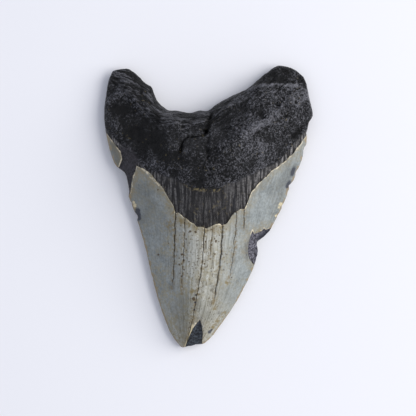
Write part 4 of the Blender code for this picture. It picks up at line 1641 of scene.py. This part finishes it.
@dataclass
class ToothMaterial:
    """The tooth's one material: each substance's colour is chosen by the marks, from the inside out.

    A MapRange node takes a pattern, the two values at which something starts and is full, and what it gives
    at each of them.
    """

    graph: Graph

    def marks(self, name: str) -> list[bpy.types.NodeSocket]:
        """Reads the three numbers of a mark."""
        split = self.graph.add("SeparateXYZ", self.graph.add("Attribute", attribute_name=name, output=1))
        return list(split.node.outputs)

    def grain(self, kind: Grain) -> bpy.types.NodeSocket:
        """Makes one of the noises: a value of about 0.2 to 0.8."""
        size, detail, gain = kind.value
        values = {"Scale": 1 / (size * MM), "Detail": detail, "Roughness": gain}
        return self.graph.add("TexNoise", self.graph.add("TexCoord", output=3), named=values)

    def streaks(self, across: bpy.types.NodeSocket, kind: Streak) -> bpy.types.NodeSocket:
        """Makes noise that is drawn out along the lines on which a mark stays the same.

        Args:
            across: the mark, in millimetres across those lines.
            kind: which streaks to make.

        Returns:
            A value of about 0.2 to 0.8.
        """
        add = self.graph.add
        width, length, detail = kind.value
        longer = {"Scale": 1 / (length * MM)}
        point = add("VectorMath", add("TexCoord", output=3), operation="SCALE", named=longer)
        spread = add("CombineXYZ", add("Math", across, width, operation="DIVIDE"), width)
        point = add("VectorMath", add("VectorMath", point, (1, 1, 0), **PRODUCT), spread, **SUM)
        return add("TexNoise", point, named={"Scale": 1.0, "Detail": detail})

    def ragged(self, mark: bpy.types.NodeSocket) -> bpy.types.NodeSocket:
        """Gives a mark's spots a sharp, uneven border."""
        add = self.graph.add
        uneven = add("MapRange", self.grain(Grain.FLECK), 0.3, 0.7, -0.32, 0.32)
        return add("MapRange", add("Math", mark, uneven, **SUM), 0.5, 0.75, 0.0, 0.9, **SMOOTH)

    def layered(self, base: object, *layers: tuple[object, object]) -> bpy.types.NodeSocket:
        """Lays colours over a base one after another, each as thickly as its share says.

        Args:
            base: the colour underneath, as a code or a socket.
            layers: colours, as codes or sockets, and their shares.

        Returns:
            The colour on top.
        """
        below = linear(base) if isinstance(base, str) else base
        for colour, share in layers:
            above = linear(colour) if isinstance(colour, str) else colour
            below = self.graph.add("Mix", share, named={6: below, 7: above}, **COLOURS)
        return below

    def root(self) -> bpy.types.NodeSocket:
        """Colours the root: worn crests grey, hollows black with painted shade, fibrous by the notch, a few
        specks of earth.
        """
        add = self.graph.add
        crest_wear_and_hollow_shade, worn, fibrous = self.marks("bone")
        notch = add("Attribute", attribute_name="notch", output=2)
        place = add("SeparateXYZ", add("TexCoord", output=3)).node
        notch = add("Math", place.outputs[2], 0.8 / MM, notch, operation="MULTIPLY_ADD")
        # Painted shade in the hollows and worn grey on the crests, by the relief's height
        crest = add("MapRange", crest_wear_and_hollow_shade, -0.5, 0.5, **SMOOTH)
        cells = add("TexVoronoi", add("TexCoord", output=3), named={"Scale": 1 / (PORE_SPACING * MM)})
        pores = add("MapRange", cells, 0.12, 0.36, **SMOOTH)
        fine = add("MapRange", self.grain(Grain.GRIT), 0.46, 0.59, **SMOOTH)
        fine = add("Math", fine, pores, **PRODUCT)
        fibres = add("MapRange", self.streaks(notch, Streak.FIBRE), 0.43, 0.62, 0.0, 0.85, **SMOOTH)
        pattern = add("Mix", fibrous, named={2: fine, 3: fibres}, **NUMBERS)

        # The grey share is a weighted sum of the fine pattern, the relief's height (worn crests, painted
        # shade in hollows) and the wear
        pattern = add("Math", pattern, 0.66, **PRODUCT)
        detail = add("Math", pattern, add("Math", crest, 0.68, **PRODUCT), **SUM)
        share = add("MapRange", add("Math", detail, worn, **SUM), 0.88, 2.12)
        earth = add("MapRange", self.grain(Grain.CRUMB), 0.64, 0.72, **SMOOTH)
        cloud = add("MapRange", self.grain(Grain.ROOT_CLOUD), 0.46, 0.6, **SMOOTH)
        earth = add("Math", add("Math", earth, cloud, **PRODUCT), 0.45, **PRODUCT)
        return self.layered(ROOT_BONE.dark, (ROOT_BONE.light, share), (EARTH_SPECK, earth))

    def band(self) -> bpy.types.NodeSocket:
        """Colours the striated band: dark, with paler ribs along the grain, thin black lines and earth."""
        add = self.graph.add
        flow = add("Attribute", attribute_name="flow", output=2)
        ribs = add("MapRange", self.streaks(flow, Streak.RIB), 0.38, 0.64, 0.05, 1.0, **SMOOTH)
        lines = add("Math", self.streaks(flow, Streak.BLACK_LINE), 0.5, operation="SUBTRACT")
        lines = add("MapRange", add("Math", lines, **SIZE), 0.008, 0.035, 0.12, 1.0, **SMOOTH)
        ribs = add("Math", ribs, lines, **PRODUCT)
        away = add("Math", add("Math", flow, 1.0, **SUM), **SIZE)
        paler = add("MapRange", away, 4.0, 26.0, 0.24, 0.8, **SMOOTH)
        broken = add("MapRange", self.grain(Grain.FLECK), 0.36, 0.62, 0.35, 1.0, **SMOOTH)
        share = add("Math", add("Math", ribs, paler, **PRODUCT), broken, **PRODUCT)
        earth = add("MapRange", self.grain(Grain.DUST), 0.56, 0.72, **SMOOTH)
        middle = add("MapRange", away, 14.0, 4.0, 0.25, 0.6, **SMOOTH)
        cloud = add("MapRange", self.grain(Grain.BAND_CLOUD), 0.4, 0.6)
        earth = add("Math", earth, add("Math", middle, cloud, **PRODUCT), **PRODUCT)
        return self.layered(BAND_LAYER.dark, (BAND_LAYER.light, share), (EARTH_SPECK, earth))

    def enamel(self) -> bpy.types.NodeSocket:
        """Colours the enamel: blue-grey at the sides, warm and streaky down the middle, stained, and with
        painted shade over some stretches.
        """
        add = self.graph.add
        flow = add("Attribute", attribute_name="flow", output=2)
        warmth, dull_and_shade, cream = self.marks("tint")
        inside, fresh, edge = self.marks("margin")

        # The two enamels, each from its darkest to its lightest colour
        mottle = add("MapRange", self.grain(Grain.MOTTLE), 0.3, 0.7, 0.0, 0.4, **SMOOTH)
        fine = add("MapRange", self.grain(Grain.FLECK), 0.34, 0.66, 0.0, 0.4, **SMOOTH)
        faint = add("MapRange", self.streaks(flow, Streak.FAINT), 0.34, 0.66, 0.0, 0.3, **SMOOTH)
        shade = add("Math", add("Math", mottle, fine, **SUM), faint, **SUM)
        streak = add("MapRange", self.streaks(flow, Streak.WARM), 0.34, 0.64, 0.0, 0.65, **SMOOTH)
        warm_shade = add("Math", add("Math", shade, 0.35, **PRODUCT), streak, **SUM)
        cool = self.layered(COOL_ENAMEL.dark, (COOL_ENAMEL.light, shade))
        warm = self.layered(WARM_ENAMEL.dark, (WARM_ENAMEL.light, warm_shade))

        # The stain along the margin, weaker on the right, and the pale lip of the enamel's edge
        wavy = add("MapRange", self.grain(Grain.WAVY), 0.3, 0.7, -0.9, 0.9, **SMOOTH)
        margin = add("MapRange", add("Math", inside, wavy, **SUM), 4.2, 0.2, **SMOOTH)
        patchy = add("MapRange", self.grain(Grain.PATCH), 0.38, 0.58, 0.25, 1.0, **SMOOTH)
        patchy = add("Math", patchy, add("MapRange", flow, -12.0, 6.0, 1.0, 0.6), **PRODUCT)
        lip = add("Math", inside, add("Math", wavy, 0.3, **PRODUCT), **SUM)
        lip = add("MapRange", lip, 0.45, 0.15, 0.0, 1.0, **SMOOTH)
        gaps = add("MapRange", self.grain(Grain.LIP), 0.42, 0.56, 0.05, 0.9, **SMOOTH)
        lip = add("Math", lip, gaps, **PRODUCT)

        # Crazing: thin lines where the streaks pass their middle value, in the warm enamel
        lines = self.streaks(flow, Streak.CRAZE)
        thin = add("Math", add("MapRange", lines, 0.46, 0.5), add("MapRange", lines, 0.54, 0.5), **PRODUCT)
        thin = add("Math", thin, add("MapRange", self.grain(Grain.CRAZING), 0.42, 0.56, **SMOOTH), **PRODUCT)
        crazed = add("Math", thin, add("MapRange", warmth, 0.2, 0.8, 0.05, 0.7, **SMOOTH), **PRODUCT)

        # Dark dots where the enamel is pocked, and small brown specks
        spacing = {"Scale": 1 / (DOT_SPACING * MM)}
        cells = add("TexVoronoi", add("TexCoord", output=3), named=spacing).node
        dots = add("MapRange", cells.outputs[0], 0.36, 0.2, **SMOOTH)
        dots = add("Math", dots, add("MapRange", cells.outputs[1], 0.3, 0.8, 0.0, 1.0), **PRODUCT)
        dots = add("Math", dots, add("Attribute", attribute_name="pocked", output=2), **PRODUCT)
        specks = add("MapRange", self.grain(Grain.SPECK), 0.62, 0.7, **SMOOTH)
        specks = add("Math", specks, add("MapRange", warmth, 0.3, 0.9, 0.06, 0.7, **SMOOTH), **PRODUCT)
        specks = add("Math", specks, dots, **LARGER)

        # The tooth's own side edges, and the film
        cut = add("MapRange", add("Math", edge, wavy, **SUM), 0.8, 0.1, 0.0, 0.75, **SMOOTH)
        place = add("SeparateXYZ", add("TexCoord", output=3)).node
        film = add("MapRange", self.grain(Grain.FILM), 0.4, 0.6, 0.0, 0.75, **SMOOTH)
        cloud = add("MapRange", self.grain(Grain.FILM_CLOUD), 0.38, 0.58, 0.25, 1.0, **SMOOTH)
        film = add("Math", film, cloud, **PRODUCT)
        film = add("Math", film, add("MapRange", place.outputs[1], 0.01, -0.05, 0.55, 1.15), **PRODUCT)
        film = add("Math", film, add("MapRange", flow, 4.0, 14.0, 1.0, 0.4), **PRODUCT)
        return self.layered(
            cool,
            (warm, warmth),
            (TAN_FILM, film),
            (MARGIN_STAIN, add("Math", margin, patchy, **PRODUCT)),
            (CRAZE_COLOUR, crazed),
            (BROWN_STAIN, specks),
            # painted shade and dull brown tone
            (DULL_AND_SHADED_ENAMEL, dull_and_shade),
            (CUT_EDGE.light, add("Math", lip, fresh, **PRODUCT)),
            (CUT_EDGE.dark, cut),
            (CREAM_STAIN, self.ragged(cream)),
        )

    def stained(self, colour: bpy.types.NodeSocket) -> bpy.types.NodeSocket:
        """Lays the cracks' halos, the spots and the cracks over the enamel's colour."""
        add = self.graph.add
        line, halo, lip = self.marks("cracks")
        brown, tan, _ = self.marks("spots")
        uneven = add("MapRange", self.grain(Grain.HALO), 0.4, 0.6, 0.1, 1.0, **SMOOTH)
        halo = add("Math", add("Math", halo, uneven, **PRODUCT), 0.7, **PRODUCT)
        gaps = add("MapRange", self.grain(Grain.GAP), 0.38, 0.52, 0.3, 0.97, **SMOOTH)
        wobble = add("MapRange", self.grain(Grain.WOBBLE), 0.35, 0.65, -0.35, 0.35)
        line = add("MapRange", add("Math", line, wobble, **SUM), 0.38, 0.8, **SMOOTH)
        return self.layered(
            colour,
            (HALO_COLOUR, halo),
            (TAN_STAIN, add("Math", tan, uneven, **PRODUCT)),
            (BROWN_STAIN, self.ragged(brown)),
            (CREAM_STAIN, add("Math", lip, 0.8, **PRODUCT)),
            (CRACK_COLOUR, add("Math", line, gaps, **PRODUCT)),
        )

    def build(self) -> None:
        """Lays the substances over each other and gives them their shine and their finest grain."""
        add = self.graph.add
        band = add("Attribute", attribute_name="band", output=2)
        shoulder_inside, *others = self.marks("broken")
        on_enamel = add("MapRange", self.marks("margin")[0], -0.1, 0.1, **SMOOTH)
        shade = add("MapRange", self.grain(Grain.DENTINE), 0.36, 0.7, **SMOOTH)
        shoulder = self.layered(SHOULDER_DENTINE.dark, (SHOULDER_DENTINE.light, shade))
        shoulder_share = add("MapRange", shoulder_inside, -1.6, 0.8, **SMOOTH)

        # Earth along the band's upper border, nearest the middle: 4 b (1 - b) is 1 halfway through its fade
        border = add("Math", add("Math", band, -4.0, 4.0, operation="MULTIPLY_ADD"), band, **PRODUCT)
        border = add("Math", border, add("MapRange", self.grain(Grain.BORDER), 0.46, 0.56), **PRODUCT)
        near = add("Math", add("Attribute", attribute_name="flow", output=2), 1.0, **SUM)
        near = add("MapRange", add("Math", near, **SIZE), 11.0, 5.0, 0.0, 0.8, **SMOOTH)
        colour = self.layered(
            self.root(),
            (self.band(), band),
            (EARTH_SPECK, add("Math", border, near, **PRODUCT)),
            (shoulder, shoulder_share),
            (self.stained(self.enamel()), on_enamel),
        )
        ends = (ENAMEL_ROUGHNESS - SMOOTHER, ENAMEL_ROUGHNESS + ROUGHER)
        smooth = add("MapRange", self.grain(Grain.SHINE), 0.3, 0.7, *ends)
        roughness = add("Mix", band, named={2: BONE_ROUGHNESS, 3: BAND_ROUGHNESS}, **NUMBERS)
        roughness = add("Mix", on_enamel, named={2: roughness, 3: smooth}, **NUMBERS)
        breaks = ((EDGE_DENTINE, EDGE_ROUGHNESS), (TIP_DENTINE, TIP_ROUGHNESS))
        for (tones, spread), inside in zip(breaks, others):
            share = add("MapRange", inside, -0.12, 0.12, **SMOOTH)
            bare = self.layered(tones.dark, (tones.light, shade))
            colour = self.layered(colour, (bare, share))
            roughness = add("Mix", share, named={2: roughness, 3: spread}, **NUMBERS)
        dark = self.marks("spots")[2]
        dark = add("Math", self.ragged(dark), add("Math", dark, 0.65, **PRODUCT), **LARGER)
        colour = self.layered(colour, (DARK_STAIN, dark))
        depth = add("MapRange", on_enamel, 0.0, 1.0, 1.0, ENAMEL_BUMP)
        height = add("Math", self.grain(Grain.BUMP), depth, **PRODUCT)
        normal = add("Bump", named={"Strength": 1.0, "Distance": BUMP_HEIGHT * MM, "Height": height})
        finish = {"Roughness": roughness, "IOR": REFRACTION, "Normal": normal}
        finish["Specular IOR Level"] = SHINE_LEVEL
        add("OutputMaterial", add("BsdfPrincipled", colour, named=finish))


def new_material(name: str) -> tuple[bpy.types.Material, Graph]:
    """Makes an empty material.

    Args:
        name: its name.

    Returns:
        The material and its nodes.
    """
    material = bpy.data.materials.new(name)
    material.use_nodes = True
    material.node_tree.nodes.clear()
    return material, Graph(material.node_tree)


def new_object(name: str, data: bpy.types.ID) -> bpy.types.Object:
    """Makes an object of a mesh, light or camera and puts it in the scene.

    Args:
        name: its name.
        data: what it shows.

    Returns:
        The object.
    """
    made = bpy.data.objects.new(name, data)
    bpy.context.scene.collection.objects.link(made)
    return made


# The studio


@dataclass(frozen=True)
class SoftLight:
    """A square light that faces the tooth.

    Attributes:
        name: its name.
        place: where it hangs, in metres.
        width: its width in metres.
        power: its power in watts.
        colour: its colour.
    """

    name: str
    place: tuple[float, float, float]
    width: float
    power: float
    colour: str

    def hang(self) -> None:
        """Adds the light to the scene."""
        data = bpy.data.lights.new(self.name, "AREA")
        data.shape, data.size = "SQUARE", self.width
        data.energy, data.color = self.power, linear(self.colour)[:3]
        lamp = new_object(self.name, data)
        x, y, z = self.place
        lamp.location = self.place
        lamp.rotation_euler = (math.atan2(math.hypot(x, y), z), 0, math.atan2(y, x) + math.pi / 2)


@dataclass
class Studio:
    """A pale floor, soft daylight from all round, and one large light on the right.

    Attributes:
        floor_width: width of the floor in metres.
        floor_colour: its colour, a smooth matt board.
        floor_roughness: spread of its shine.
        sky_colour: colour of the light from all round.
        sky_strength: its strength.
        lights: the lights.
        camera_place: where the camera hangs above the floor, in metres.
        lens: focal length in millimetres.
        film: width of the film in millimetres.
    """

    floor_width: float = 4.0
    floor_colour: str = "e9eaee"
    floor_roughness: float = 0.8
    sky_colour: str = "e9edfb"
    sky_strength: float = 0.66
    lights: tuple[SoftLight, ...] = (SoftLight("key", (0.98, 0.14, 0.76), 1.1, 17.0, "fffcf8"),)
    camera_place: tuple[float, float, float] = (-0.0002, -0.0006, 0.699)
    lens: float = 150.0
    film: float = 36.0

    def place_camera(self) -> None:
        """Hangs the camera straight above the tooth."""
        data = bpy.data.cameras.new("camera")
        data.lens, data.sensor_width = self.lens, self.film
        camera = new_object("camera", data)
        camera.location = self.camera_place
        bpy.context.scene.camera = camera

    def lay_floor(self) -> None:
        """Lays the floor at the height on which the tooth rests."""
        half = self.floor_width / 2
        corners = [(-half, -half, 0), (half, -half, 0), (half, half, 0), (-half, half, 0)]
        mesh = bpy.data.meshes.new("floor")
        mesh.from_pydata(corners, [], [(0, 1, 2, 3)])
        floor = new_object("floor", mesh)
        material, graph = new_material("matt_board")
        finish = {"Roughness": self.floor_roughness}
        graph.add("OutputMaterial", graph.add("BsdfPrincipled", linear(self.floor_colour), named=finish))
        mesh.materials.append(material)

    def light(self) -> None:
        """Sets the light from all round, hangs the lights and picks a plain rendering of colours."""
        world = bpy.data.worlds.new("studio")
        world.use_nodes = True
        background = world.node_tree.nodes["Background"]
        background.inputs["Color"].default_value = linear(self.sky_colour)
        background.inputs["Strength"].default_value = self.sky_strength
        bpy.context.scene.world = world
        for light in self.lights:
            light.hang()
        bpy.context.scene.view_settings.view_transform = "Standard"


@dataclass
class ToothPiece:
    """The tooth as a piece of the scene, in place of the plain solid."""

    tooth: Tooth = field(default_factory=Tooth)

    def build(self) -> bpy.types.Object:
        """Builds the tooth's mesh and dresses it.

        Returns:
            The object, with its origin at the frame's.
        """
        mesh = self.tooth.build().mesh(NODE + "_surface")
        piece = new_object(NODE + "_surface", mesh)
        material, graph = new_material(SLOT)
        ToothMaterial(graph).build()
        mesh.materials.append(material)
        return piece


def main() -> None:
    """Builds the tooth and its studio, and logs the tooth's triangle count."""
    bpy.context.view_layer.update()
    studio = Studio()
    studio.place_camera()
    piece = ToothPiece().build()
    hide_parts(NODE)
    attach(piece, BODY)
    log.info("%s has %d triangles", NODE, sum(len(face.vertices) - 2 for face in piece.data.polygons))
    studio.lay_floor()
    studio.light()


if __name__ == "__main__":
    logging.basicConfig(level=logging.INFO)
    main()
